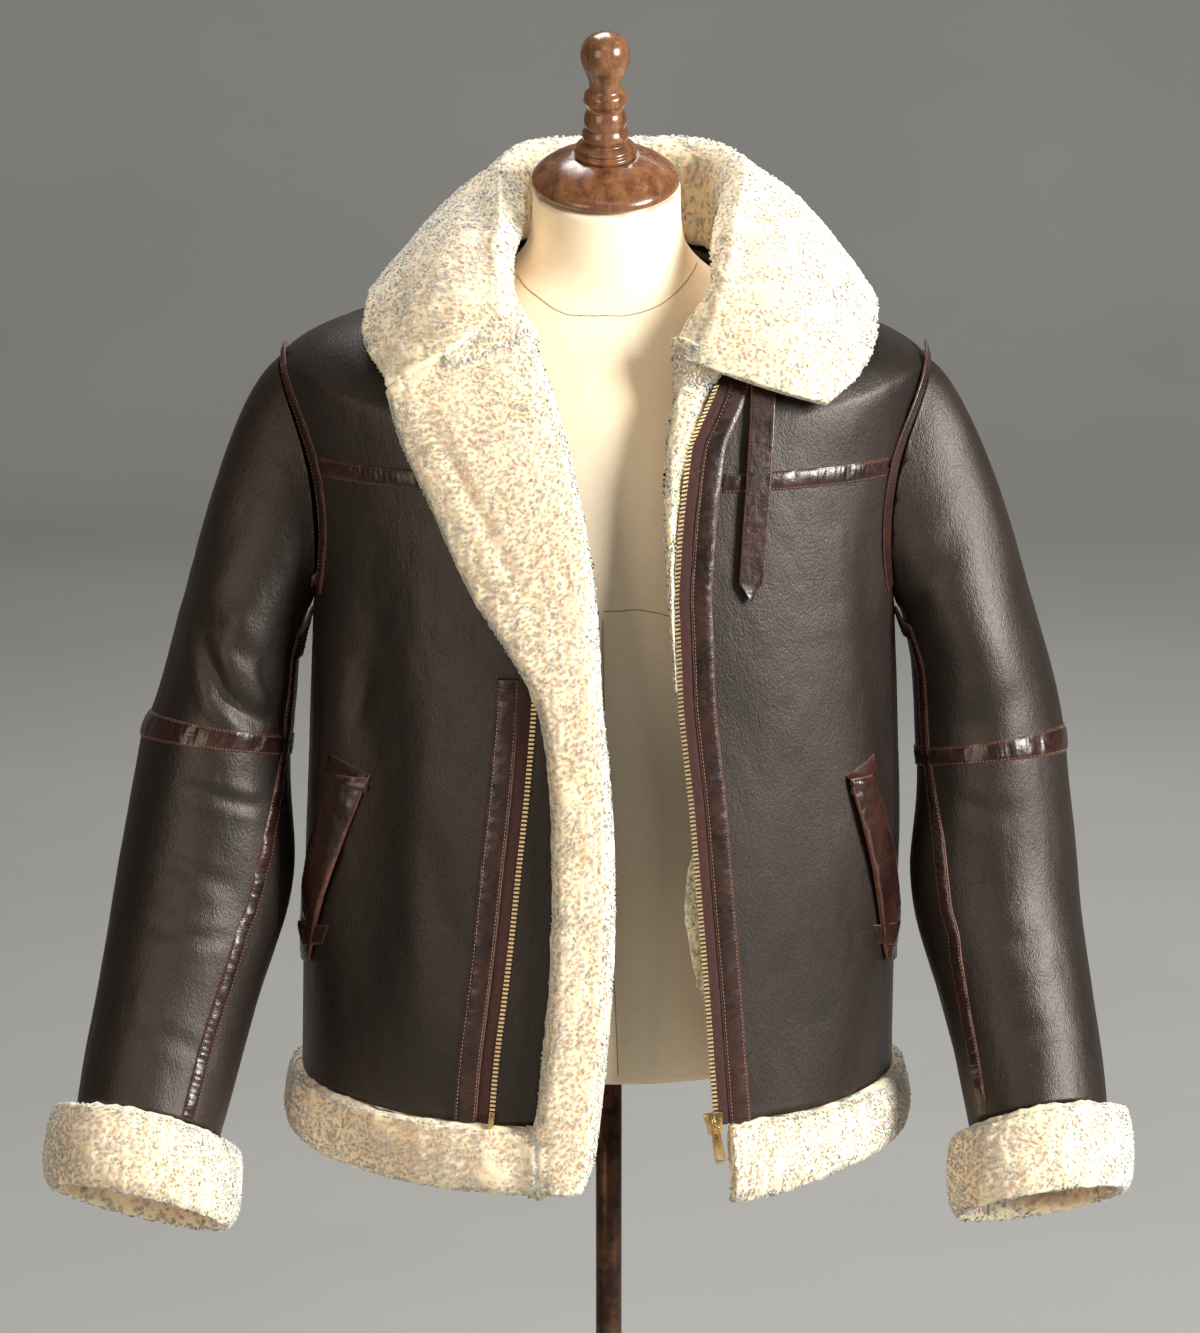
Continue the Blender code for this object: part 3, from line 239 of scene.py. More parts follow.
def linen_look():
    """Fine cream linen with a faint weave."""
    m = Look("form_linen", (0.8, 0.66, 0.46), 0.85, Sheen_Weight=0.1)
    at = m.place()
    warp = m.noise(m.place((1, 1, 0.06)), 1400, 2)
    weft = m.noise(m.place((0.06, 0.06, 1)), 1400, 2)
    thread = m.math("ADD", warp, weft)
    stain = m.ramp(m.noise(at, 7, 5, 0.6), 0.4, 0.7, 0, 0.5)
    tone = m.mix(stain, (0.92, 0.80, 0.60), (0.84, 0.66, 0.42))
    speck = m.ramp(m.noise(at, 160, 2, 0.5), 0.72, 0.8, 0, 0.25)
    tone = m.mix(speck, tone, (0.45, 0.34, 0.22))
    m.color(m.mix(m.ramp(thread, 0.8, 1.2, 0, 0.14), tone, (0.50, 0.40, 0.28)))
    m.bump(thread, 0.22, 0.5)
    return m.mat


def wood_look():
    """Old varnished turned wood: mid brown with darker streaks and rubbed highlights."""
    m = Look("form_wood", (0.25, 0.11, 0.05), 0.3, Coat_Weight=0.35, Coat_Roughness=0.15)
    streak = m.noise(m.place((1, 1, 0.16)), 90, 6, 0.65, 0.5)
    at = m.place()
    tone = m.mix(m.ramp(streak, 0.35, 0.65), (0.085, 0.030, 0.013), (0.24, 0.105, 0.045))
    worn = m.ramp(m.noise(at, 70, 6, 0.75), 0.56, 0.72, 0, 0.6)
    tone = m.mix(worn, tone, (0.36, 0.19, 0.09))
    pore = m.ramp(m.noise(m.place((1, 1, 0.2)), 600, 2, 0.6), 0.62, 0.7, 0, 0.7)
    m.color(m.mix(pore, tone, (0.035, 0.014, 0.008)))
    m.rough(m.ramp(worn, 0, 0.6, 0.24, 0.45))
    m.bump(m.noise(at, 140, 5, 0.6), 0.35, 0.5)
    m.bump(pore, 0.15, -0.5)
    return m.mat


def brass_look(name, color, rough):
    """Slightly tarnished polished brass."""
    m = Look(name, color, rough, 1.0)
    at = m.place()
    dull = m.ramp(m.noise(at, 420, 4, 0.7), 0.5, 0.72, 0, 0.6)
    m.color(m.mix(dull, color, tuple(c * 0.42 for c in color)))
    m.rough(m.ramp(dull, 0, 0.6, rough, rough + 0.22))
    m.bump(m.noise(at, 900, 3), 0.06, 0.4)
    return m.mat


def bronze_look():
    """Dark bronze paint on the pole and base."""
    m = Look("form_bronze", (0.05, 0.028, 0.018), 0.3, 0.75)
    at = m.place()
    blot = m.noise(at, 60, 5, 0.7)
    m.color(m.mix(m.ramp(blot, 0.4, 0.7), (0.035, 0.018, 0.012), (0.13, 0.065, 0.035)))
    m.rough(m.ramp(blot, 0.3, 0.8, 0.22, 0.42))
    m.bump(m.noise(at, 500, 3), 0.1, 0.4)
    return m.mat


def tape_look():
    """Maroon zip tape woven in a herringbone."""
    m = Look("zip_tape", (0.16, 0.05, 0.045), 0.8, Specular_IOR_Level=0.25)
    uv = m.add("ShaderNodeSeparateXYZ", {0: m.place(source="UV")})
    u, v = uv.outputs[0], uv.outputs[1]
    wave = m.math("FRACT", m.math("MULTIPLY", v, 0.40))
    zig = m.math("ABSOLUTE", m.math("SUBTRACT", wave, 0.5))
    row = m.math("FRACT", m.math("ADD", m.math("MULTIPLY", u, 1.1), m.math("MULTIPLY", zig, 2.2)))
    tooth = m.math("ABSOLUTE", m.math("SUBTRACT", row, 0.5))
    tone = m.mix(m.ramp(tooth, 0.05, 0.4), (0.020, 0.007, 0.006), (0.060, 0.023, 0.020))
    fluff = m.ramp(m.noise(m.place(), 300, 3), 0.4, 0.7, 0, 0.35)
    m.color(m.mix(fluff, tone, (0.085, 0.040, 0.035)))
    m.bump(tooth, 0.35, 0.8)
    return m.mat


def thread_look(name, color):
    """Twisted sewing thread."""
    m = Look(name, color, 0.6)
    twist = m.ramp(m.noise(m.place(), 700, 2), 0.35, 0.7)
    m.color(m.mix(twist, color, tuple(c * 0.5 for c in color)))
    m.bump(m.noise(m.place(), 2500, 2), 0.1, 0.5)
    return m.mat


LEATHER = leather_look()
TRIM = trim_look()
# the last colour of each wool is its painted shade
WOOL = wool_look("shearling", (0.95, 0.70, 0.45), (0.98, 0.79, 0.575), (0.93, 0.66, 0.40))
# painted shade: the lining wool is a darker copy of the cream wool, for the insides of the panels,
# which lie in shade
SHADED_LINING = wool_look("shearling_lining_painted_shade", (0.62, 0.42, 0.22), (0.74, 0.56, 0.34), (0.42, 0.24, 0.10))
LINEN = linen_look()
WOOD = wood_look()
BRASS = brass_look("zip_brass", (0.78, 0.56, 0.25), 0.22)
TEETH = brass_look("teeth_brass", (0.98, 0.80, 0.46), 0.34)
BRONZE = bronze_look()
TAPE = tape_look()
THREAD = thread_look("brown_thread", (0.30, 0.15, 0.10))
DARK_THREAD = thread_look("dark_thread", (0.045, 0.020, 0.015))
PALE_THREAD = thread_look("pale_thread", (0.42, 0.27, 0.19))
SEAM = thread_look("linen_seam", (0.52, 0.38, 0.22))


# ---------------------------------------------------------------- meshes
def linked(name, data):
    """An object around the data, in the scene."""
    obj = bpy.data.objects.new(name, data)
    bpy.context.collection.objects.link(obj)
    return obj


def piece(name, points, faces, mat, smooth=True):
    """A riding object of the coat or the form from millimetre points."""
    mesh = bpy.data.meshes.new(name)
    mesh.from_pydata(np.asarray(points, float) * MM, [], faces)
    mesh.materials.append(mat)
    if smooth:
        mesh.shade_smooth()
    obj = linked(name, mesh)
    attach(obj, COAT)


def tube(base, rings, sides):
    """Faces around rings of points numbered from base, both ends closed."""
    faces = []
    last = base + (rings - 1) * sides
    for q in range(base, last, sides):
        for j in range(sides):
            i = (j + 1) % sides
            faces.append((q + j, q + i, q + sides + i, q + sides + j))
    faces.append(tuple(range(base + sides - 1, base - 1, -1)))
    faces.append(tuple(range(last, last + sides)))
    return faces


def closed_mesh(name, points, faces):
    """A closed mesh from millimetre points, with its faces turned outwards."""
    mesh = bpy.data.meshes.new(name)
    mesh.from_pydata(points * MM, [], faces)
    bm = bmesh.new()
    bm.from_mesh(mesh)
    bmesh.ops.recalc_face_normals(bm, faces=bm.faces[:])
    if bm.calc_volume(signed=True) < 0:
        bmesh.ops.reverse_faces(bm, faces=bm.faces[:])
    bm.to_mesh(mesh)
    bm.free()
    return mesh


def mark(mesh, name, values):
    """A number at every vertex, which materials read."""
    mesh.attributes.new(name, "FLOAT", "POINT").data.foreach_set("value", values)


def applied(obj):
    """The mesh of an object with its modifiers applied; the object is removed."""
    dg = bpy.context.evaluated_depsgraph_get()
    out = bpy.data.meshes.new_from_object(obj.evaluated_get(dg))
    bpy.data.objects.remove(obj)
    return out


def search_tree(meshes, scale=1.0):
    """A search tree over meshes, in metres times the scale."""
    points, faces = [], []
    for mesh in meshes:
        base = len(points)
        points.extend(v.co * scale for v in mesh.vertices)
        faces.extend(tuple(base + k for k in p.vertices) for p in mesh.polygons)
    return BVHTree.FromPolygons(points, faces)


def node_tree(names):
    """A search tree over the CAD nodes with these names."""
    return search_tree([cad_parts[name].data for name in names])


def coords(mesh, field="co"):
    """Vertex positions in millimetres, or unit normals."""
    out = np.empty(len(mesh.vertices) * 3)
    mesh.vertices.foreach_get(field, out)
    return out.reshape(-1, 3) * (1 / MM if field == "co" else 1)


def put(mesh, points):
    """Sets vertex positions given in millimetres."""
    mesh.vertices.foreach_set("co", (points * MM).ravel())
    mesh.update()


def welded(name):
    """A bmesh of a CAD node with its triangles joined back to quads."""
    bm = bmesh.new()
    bm.from_mesh(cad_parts[name].data)
    bmesh.ops.remove_doubles(bm, verts=bm.verts[:], dist=WELD)
    bmesh.ops.join_triangles(bm, faces=bm.faces[:], angle_face_threshold=0.9,
                             angle_shape_threshold=1.2, cmp_seam=False, cmp_sharp=False,
                             cmp_uvs=False, cmp_vcols=False, cmp_materials=False)
    bm.normal_update()
    return bm


def patches(bm):
    """Groups of faces joined by edges that hardly bend, largest first."""
    bm.faces.ensure_lookup_table()
    group = [-1] * len(bm.faces)
    areas = []
    for start in bm.faces:
        if group[start.index] >= 0:
            continue
        number, stack, area = len(areas), [start], 0.0
        group[start.index] = number
        while stack:
            face = stack.pop()
            area += face.calc_area()
            for edge in face.edges:
                if len(edge.link_faces) == 2 and edge.calc_face_angle(0.0) < SIDE_BEND:
                    for other in edge.link_faces:
                        if group[other.index] < 0:
                            group[other.index] = number
                            stack.append(other)
        areas.append(area)
    order = sorted(range(len(areas)), key=lambda k: -areas[k])
    return [[f for f in bm.faces if group[f.index] == k] for k in order]


def outer_first(groups, hub):
    """The two largest groups, the one that faces away from the hub first."""
    def away(faces):
        total = 0.0
        for face in faces:
            c = face.calc_center_median()
            total += face.calc_area() * face.normal.dot(c - Vector(hub(c)))
        return total
    return sorted(groups[:2], key=away, reverse=True)


def body_hub(c):
    """The middle of the body at a point's height."""
    return (-0.004, 0.0, c[2])


def sleeve_hub(side):
    """A function that gives the middle of a sleeve within 30 mm of a point's height."""
    points = np.concatenate([coords(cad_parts[f"sleeve_{side}_{part}"].data) * MM
                             for part in ("upper", "lower")])

    def hub(c):
        near = points[np.abs(points[:, 2] - c[2]) < 0.03]
        return tuple(near.mean(axis=0))
    return hub


def fine(name, levels, sharp=55, lining_hub=None, crease=1.0):
    """Smooth fine mesh of a CAD node; faces towards the hub get material 1."""
    bm = welded(name)
    if lining_hub:
        for face in outer_first(patches(bm), lining_hub)[1]:
            face.material_index = 1
    layer = bm.edges.layers.float.new("crease_edge")
    for edge in bm.edges:
        if edge.calc_face_angle(0.0) > math.radians(sharp):
            edge[layer] = crease
    mesh = bpy.data.meshes.new(name + "_rough")
    bm.to_mesh(mesh)
    bm.free()
    obj = linked(name + "_rough", mesh)
    mod = obj.modifiers.new("smooth", "SUBSURF")
    mod.levels = mod.render_levels = levels
    return applied(obj)


def adopt(name, mesh, mats, nodes, body=COAT):
    """A riding object around a finished mesh."""
    mesh.name = name
    mesh.materials.clear()
    for mat in mats:
        mesh.materials.append(mat)
    mesh.shade_smooth()
    obj = linked(name, mesh)
    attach(obj, body)
    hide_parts(*nodes)


# ---------------------------------------------------------------- leather panels
# Creases seen on the front of a panel: points x, z along each, then half width and depth, where
# a negative depth goes inwards.
CREASES = {
    "sleeve_right_upper": [
        ([(-315, 1114), (-307, 1092), (-296, 1064), (-275, 1047), (-256, 1035)], 7.0, -4.5),
        ([(-266, 1090), (-260, 1067), (-253, 1043)], 5.0, -2.5),
        ([(-330, 1133), (-313, 1124), (-289, 1102), (-266, 1085)], 8.0, -2.0),
    ],
    "sleeve_right_lower": [
        ([(-327, 993), (-310, 989), (-291, 983), (-272, 976), (-265, 975)], 4.0, -2.0),
        ([(-354, 939), (-334, 934), (-311, 927), (-288, 916)], 5.0, -1.2),
        ([(-376, 893), (-346, 888), (-312, 880), (-291, 877)], 4.5, -1.4),
        ([(-389, 835), (-355, 819), (-324, 803), (-305, 791)], 5.0, -1.3),
    ],
    "front_right_lower": [
        ([(-184, 1093), (-190, 1068), (-196, 1041)], 7.0, -3.0),
        ([(-179, 1141), (-179, 1103), (-183, 1065), (-185, 1018)], 12.0, -1.6),
        ([(-142, 980), (-131, 934), (-123, 888), (-122, 849)], 12.0, -1.8),
    ],
    "front_left_lower": [
        ([(199, 1198), (197, 1152), (201, 1105), (207, 1059)], 9.0, -2.0),
        ([(181, 944), (185, 904), (191, 857)], 9.0, -1.4),
    ],
    "sleeve_left_upper": [
        ([(267, 1185), (252, 1162), (235, 1135), (226, 1104)], 8.0, -2.2),
        ([(323, 1063), (300, 1053), (277, 1039), (262, 1028)], 9.0, -1.4),
    ],
    "sleeve_left_lower": [
        ([(262, 979), (289, 974), (316, 974)], 7.0, -1.2),
        ([(290, 882), (317, 874), (340, 878)], 8.0, -1.3),
        ([(302, 816), (329, 811), (356, 816)], 6.0, -1.0),
    ],
}
# Grooves in the wool, written in the same way.
GROOVES = {
    "collar": [
        ([(-159, 1412), (-158, 1386), (-160, 1364), (-162, 1345)], 5.0, -2.2),
        ([(177, 1413), (180, 1386), (175, 1356), (173, 1337)], 4.0, -0.9),
        ([(65, 1412), (74, 1389), (83, 1373), (89, 1363)], 3.0, -1.2),
    ],
    "lapel_right": [
        ([(-136, 1289), (-125, 1268), (-109, 1238), (-96, 1212), (-74, 1171), (-52, 1133)],
         5.0, -2.0),
    ],
}


def crease_push(points, normals, lines):
    """Moves of points along drawn creases on the side that faces -Y, with a low rim beside."""
    push = np.zeros(len(points))
    face = np.clip(0.25 - normals[:, 1], 0, 0.5) * 2
    for path, half, depth in lines:
        path = np.array(path, float)
        best = np.full(len(points), 1e9)
        share = np.zeros(len(points))
        for k in range(len(path) - 1):
            a, b = path[k], path[k + 1]
            rel = points[:, [0, 2]] - a
            u = np.clip(rel @ (b - a) / ((b - a) @ (b - a)), 0, 1)
            d = np.linalg.norm(rel - u[:, None] * (b - a), axis=1)
            near = d < best
            best[near] = d[near]
            share[near] = ((k + u) / (len(path) - 1))[near]
        fade = np.sin(np.pi * np.clip(share, 0.02, 0.98)) ** 0.6
        push += depth * fade * np.exp(-(best / half) ** 2)
        push -= 0.35 * depth * fade * np.exp(-((best - 2.2 * half) / half) ** 2)
    return push * face


SKINS = []      # the finished leather meshes, on which bands are laid
DETAILED = ["sleeve_right_upper", "sleeve_right_lower", "sleeve_left_lower",
            "front_right_lower", "front_left_lower"]


def seated(points, normals, tree):
    """How high the leather stands above each point along its normal, nan where it has none."""
    out, reach = 9.0, 24.0
    high = np.full(len(points), np.nan)
    for k, (p, n) in enumerate(zip(points, normals)):
        hit = tree.ray_cast(Vector(p + n * out), Vector(-n), reach)
        if hit[0] is not None:
            high[k] = out - hit[3]
    return high


def calm(grid, closed):
    """Fills gaps in a grid of heights and evens them out over a few rows each way."""
    rows, across = 3, 1
    mode = "wrap" if closed else "edge"
    wide = np.pad(grid, ((rows, rows), (0, 0)), mode)
    wide = np.pad(wide, ((0, 0), (across, across)), "edge")
    stack = [wide[i:i + grid.shape[0], j:j + grid.shape[1]]
             for i in range(2 * rows + 1) for j in range(2 * across + 1)]
    middle = np.nanmedian(np.stack(stack), axis=0)
    middle[np.isnan(middle)] = np.nanmedian(middle)
    wide = np.pad(middle, ((rows, rows), (0, 0)), mode)
    return np.mean([wide[i:i + grid.shape[0]] for i in range(2 * rows + 1)], axis=0)


def finer_outside(mesh):
    """Splits the faces of the leather side once more."""
    bm = bmesh.new()
    bm.from_mesh(mesh)
    edges = {e for f in bm.faces if f.material_index == 0 for e in f.edges}
    bmesh.ops.subdivide_edges(bm, edges=list(edges), cuts=1, use_grid_fill=True)
    bm.to_mesh(mesh)
    bm.free()


def panel(node, hub):
    """Leather panel: the CAD shape, softly uneven outside, with its drawn creases."""
    mesh = fine(node, 2, lining_hub=hub)
    if node in DETAILED:
        finer_outside(mesh)
    points, normals = coords(mesh), coords(mesh, "normal")
    tall = points * (1, 1, 0.45)
    soft = -0.8 + noise(points, 75, 3) * 0.9 + noise(tall, 26, 9) * 0.45
    small = np.minimum(noise(tall, 9, 21), 0) * 0.45
    move = np.minimum(soft + small, 0.2)
    if node in CREASES:
        move = move + np.minimum(crease_push(points, normals, CREASES[node]), 1.2)
    outer = np.zeros(len(points))
    for poly in mesh.polygons:
        if poly.material_index == 0:
            outer[list(poly.vertices)] = 1.0
    put(mesh, points + normals * (move * outer)[:, None])
    SKINS.append(mesh)
    # the inside faces get the lining wool, whose darker colour paints shade
    adopt(node + "_hide", mesh, [LEATHER, SHADED_LINING], nodes=[node])


def thin_hidden(mesh, few, ratio):
    """Fewer faces, most of them taken where few are needed."""
    obj = linked("thin", mesh)
    group = obj.vertex_groups.new(name="few")
    group.add([int(k) for k in np.nonzero(few)[0]], 1.0, "REPLACE")
    mod = obj.modifiers.new("fewer", "DECIMATE")
    mod.ratio = ratio
    mod.vertex_group_factor = 1.0
    mod.vertex_group = "few"
    out = applied(obj)
    bm = bmesh.new()
    bm.from_mesh(out)
    bm.to_mesh(mesh)
    bm.free()
    bpy.data.meshes.remove(out)


# ---------------------------------------------------------------- bands
def loops_of(faces):
    """Boundary loops of a group of faces, as lists of vertices."""
    inside = set(faces)
    nexts = {}
    for face in faces:
        for loop in face.loops:
            others = [f for f in loop.edge.link_faces if f is not face]
            if not others or others[0] not in inside:
                nexts[loop.vert] = loop.link_loop_next.vert
    loops = []
    while nexts:
        first = next(iter(nexts))
        line, v = [], first
        while v in nexts:
            line.append(v)
            v = nexts.pop(v)
        loops.append(line)
    return loops


def length_of(path):
    """Length of a path through points."""
    return np.linalg.norm(np.diff(path, axis=0), axis=1).sum()


def run_of(path):
    """Distance along a path at each of its points."""
    return np.concatenate([[0], np.cumsum(np.linalg.norm(np.diff(path, axis=0), axis=1))])


def between(a, b, share):
    """A grid of points from line a to line b, one row for each of their points."""
    return a[:, None] * (1 - share[None, :, None]) + b[:, None] * share[None, :, None]


def even(path, count, closed=False):
    """Smooth curve through the points, resampled at even steps."""
    path = np.asarray(path, float)
    if closed:
        path = np.concatenate([path, path[:1]])
    along = run_of(path)
    at = np.linspace(0, along[-1], count + (1 if closed else 0))
    k = np.clip(np.searchsorted(along, at, "right") - 1, 0, len(path) - 2)
    u = ((at - along[k]) / (along[k + 1] - along[k]))[:, None]
    h = (along[k + 1] - along[k])[:, None]
    slope = np.gradient(path, along, axis=0)
    if closed:
        slope[0] = slope[-1] = 0.5 * (slope[0] + slope[-1])
    out = ((2 * u ** 3 - 3 * u ** 2 + 1) * path[k] + (u ** 3 - 2 * u ** 2 + u) * h * slope[k]
           + (-2 * u ** 3 + 3 * u ** 2) * path[k + 1] + (u ** 3 - u ** 2) * h * slope[k + 1])
    return out[:count]


def rails(node, hub, step):
    """Two long edges of a ribbon's outer face, with the normals between them."""
    bm = welded(node)
    loops = loops_of(outer_first(patches(bm), hub)[0])
    closed = len(loops) >= 2
    if closed:
        lines = [np.array([v.co for v in line]) / MM for line in loops[:2]]
        other = lines[1][::-1]
        turn = int(np.argmin(np.linalg.norm(other - lines[0][0], axis=1)))
        lines[1] = np.roll(other, -turn, axis=0)
    else:
        line = np.array([v.co for v in loops[0]]) / MM
        ahead = unit(np.roll(line, -1, axis=0) - line)
        bend = (ahead * np.roll(ahead, 1, axis=0)).sum(axis=1)
        corners = sorted(np.argsort(bend)[:4])
        chains = [np.array([line[i % len(line)] for i in range(p, q + 1)])
                  for p, q in zip(corners, corners[1:] + [corners[0] + len(line)])]
        chains.sort(key=lambda c: -length_of(c))
        lines = [chains[0], chains[1][::-1]]
    bm.free()
    count = max(8, int(length_of(lines[0]) / step))
    a, b = (even(line, count, closed) for line in lines)
    mid = 0.5 * (a + b)
    along = np.gradient(mid, axis=0)
    if closed:
        along = np.roll(mid, -1, axis=0) - np.roll(mid, 1, axis=0)
    normal = unit(np.cross(along, b - a))
    centre = np.array([hub(p * MM) for p in mid]) / MM
    if float((normal * (mid - centre)).sum()) < 0:
        normal = -normal
    return a, b, normal, closed


def band(name, a, b, normal, tree, closed=False, *, crinkle, thick=1.0, arch=0.5, columns=9,
         mat=TRIM, nodes=(), most=0.6):
    """Closed band laid on the leather between two rails, with round edges and cross creases.

    It returns the grid of points of its upper face.
    """
    count, seed = len(a), 5
    sink, deepest, lap = 0.9, -5.0, 0.55
    share = 0.5 - 0.5 * np.cos(np.pi * np.arange(columns) / (columns - 1))
    edge = 1 - np.abs(2 * share - 1) ** 4
    across = between(a, b, share)
    along = run_of(a)
    width = np.linalg.norm(b - a, axis=1).mean()
    key = np.stack([np.repeat(along, columns), np.tile(share, count) * width * 0.22,
                    np.zeros(count * columns)], axis=1)
    folds = np.minimum(noise(key, 4.2, seed), 0.15) + 0.6 * noise(key, 11, seed + 1)
    turn = 2 * math.pi * key[:, 0] / 4.8 + 2.5 * noise(key * (1, 3, 1), 16, seed + 2)
    folds = folds + 0.28 * np.sin(turn) * (0.6 + noise(key, 30, seed + 3))
    deep = (np.tile(edge, count) * folds * crinkle).reshape(count, columns)
    sides = np.repeat(normal, columns, axis=0)
    high = calm(seated(across.reshape(-1, 3), sides, tree).reshape(count, columns), closed)
    high = np.clip(high, deepest, most)
    rise = high + edge[None] * (arch + thick) + (1 - edge[None]) * thick * lap + deep
    over = across + normal[:, None] * rise[..., None]
    under = across + normal[:, None] * (high - sink)[..., None]
    shift, faces, e = count * columns, [], columns - 1
    for r in range(count if closed else count - 1):
        s = (r + 1) % count
        for c in range(e):
            q = (r * columns + c, r * columns + c + 1, s * columns + c + 1, s * columns + c)
            faces += [q, tuple(k + shift for k in reversed(q))]
        faces.append((r * columns, s * columns, s * columns + shift, r * columns + shift))
        faces.append((s * columns + e, r * columns + e, r * columns + e + shift,
                      s * columns + e + shift))
    if not closed:
        for c in range(e):
            faces.append((c + 1, c, c + shift, c + 1 + shift))
            t = (count - 1) * columns + c
            faces.append((t, t + 1, t + 1 + shift, t + shift))
    mesh = closed_mesh(name, np.concatenate([over.reshape(-1, 3), under.reshape(-1, 3)]), faces)
    rim = np.clip((np.abs(2 * share - 1) - 0.93) / 0.07, 0, 1)
    mark(mesh, "edge", np.concatenate([np.tile(rim, count), np.zeros(shift)]))
    layer = mesh.uv_layers.new(name="UVMap")
    table = np.stack([np.repeat(along, columns), np.tile(share, count) * width], axis=1)
    table = np.concatenate([table, table])
    index = np.empty(len(mesh.loops), int)
    mesh.loops.foreach_get("vertex_index", index)
    layer.data.foreach_set("uv", table[index].ravel())
    adopt(name, mesh, [mat], nodes=nodes)
    return over


def past_elbow(a, b, normal, level):
    """A ribbon made longer at the end nearest a level, so that it runs over the elbow tape."""
    if abs(a[0, 2] - level) < abs(a[-1, 2] - level):
        return tuple(v[::-1] for v in past_elbow(a[::-1], b[::-1], normal[::-1], level))
    count, step = 7, 2.0
    steps = np.arange(1, count + 1)[:, None] * step
    a, b = (np.concatenate([line, line[-1] + unit(line[-1] - line[-4]) * steps])
            for line in (a, b))
    return a, b, np.concatenate([normal, np.repeat(normal[-1:], count, axis=0)])


def row_at(over, inset):
    """Line along a band at a distance in from its first edge, or from its last if negative."""
    steps = np.linalg.norm(np.diff(over, axis=1), axis=2)
    along = np.concatenate([np.zeros((len(over), 1)), np.cumsum(steps, axis=1)], axis=1)
    goal = inset if inset > 0 else along[:, -1] + inset
    goal = np.broadcast_to(goal, len(over))
    line = []
    for row, at, g in zip(over, along, goal):
        line.append([np.interp(g, at, row[:, k]) for k in range(3)])
    return np.array(line)


def stitches(name, path, normal, pitch=3.0, length=2.0, mat=THREAD):
    """A row of sewn stitches along a line, each a short thread sunk at its ends."""
    radius, lift = 0.34, 0.15
    count = max(2, int(length_of(path) / pitch))
    at, ups = even(path, count * 4 + 1), even(normal, count * 4 + 1)
    points, faces = [], []
    for k in range(count):
        p = at[k * 4 + 1]
        t = unit(at[k * 4 + 3] - at[k * 4])
        n = unit(ups[k * 4 + 1])
        s = np.cross(t, n)
        faces += tube(len(points), 3, 4)
        for u, r, h in ((-0.5, 0.5, -0.25), (0.0, 1.0, 0.22), (0.5, 0.5, -0.25)):
            c = p + t * u * length + n * (lift + h * 0.6)
            for j in range(4):
                w = math.pi * (j + 0.5) / 2
                points.append(c + (s * math.cos(w) + n * math.sin(w)) * radius * r)
    piece(name, points, faces, mat)


def sew(name, over, normal, inset, closed=False, **thread):
    """Two rows of stitches along a band, at the inset from its edges."""
    for k, distance in enumerate((inset, -inset)):
        path, ups = row_at(over, distance), normal
        if closed:
            path, ups = (np.concatenate([line, line[:1]]) for line in (path, ups))
        stitches(f"{name}_thread_{k}", path, ups, **thread)


# ---------------------------------------------------------------- wool
def scatter(mesh, keep, spacing):
    """Points and normals spread over the faces of kept vertices, about one in each cell."""
    mesh.calc_loop_triangles()
    tri = np.empty(len(mesh.loop_triangles) * 3, int)
    mesh.loop_triangles.foreach_get("vertices", tri)
    tri = tri.reshape(-1, 3)
    points, normals = coords(mesh), coords(mesh, "normal")
    a, b, c = (points[tri[:, k]] for k in range(3))
    area = 0.5 * np.linalg.norm(np.cross(b - a, c - a), axis=1)
    area = area * keep[tri].min(axis=1)
    count = int(area.sum() / spacing ** 2 * 3.0)
    pick = RNG.choice(len(tri), count, p=area / area.sum())
    u, v = np.sqrt(RNG.random(count)), RNG.random(count)
    share = np.stack([1 - u, u * (1 - v), u * v], axis=1)
    at = (points[tri[pick]] * share[..., None]).sum(axis=1)
    normal = unit((normals[tri[pick]] * share[..., None]).sum(axis=1))
    cell = np.floor(at / spacing).astype(np.int64)
    first = np.unique(cell, axis=0, return_index=True)[1]
    return at[first], normal[first]


def nearest(points, targets):
    """Index of the nearest target of every point."""
    tree = KDTree(len(targets))
    for k, p in enumerate(targets):
        tree.insert(p, k)
    tree.balance()
    return np.array([tree.find(p)[1] for p in points])


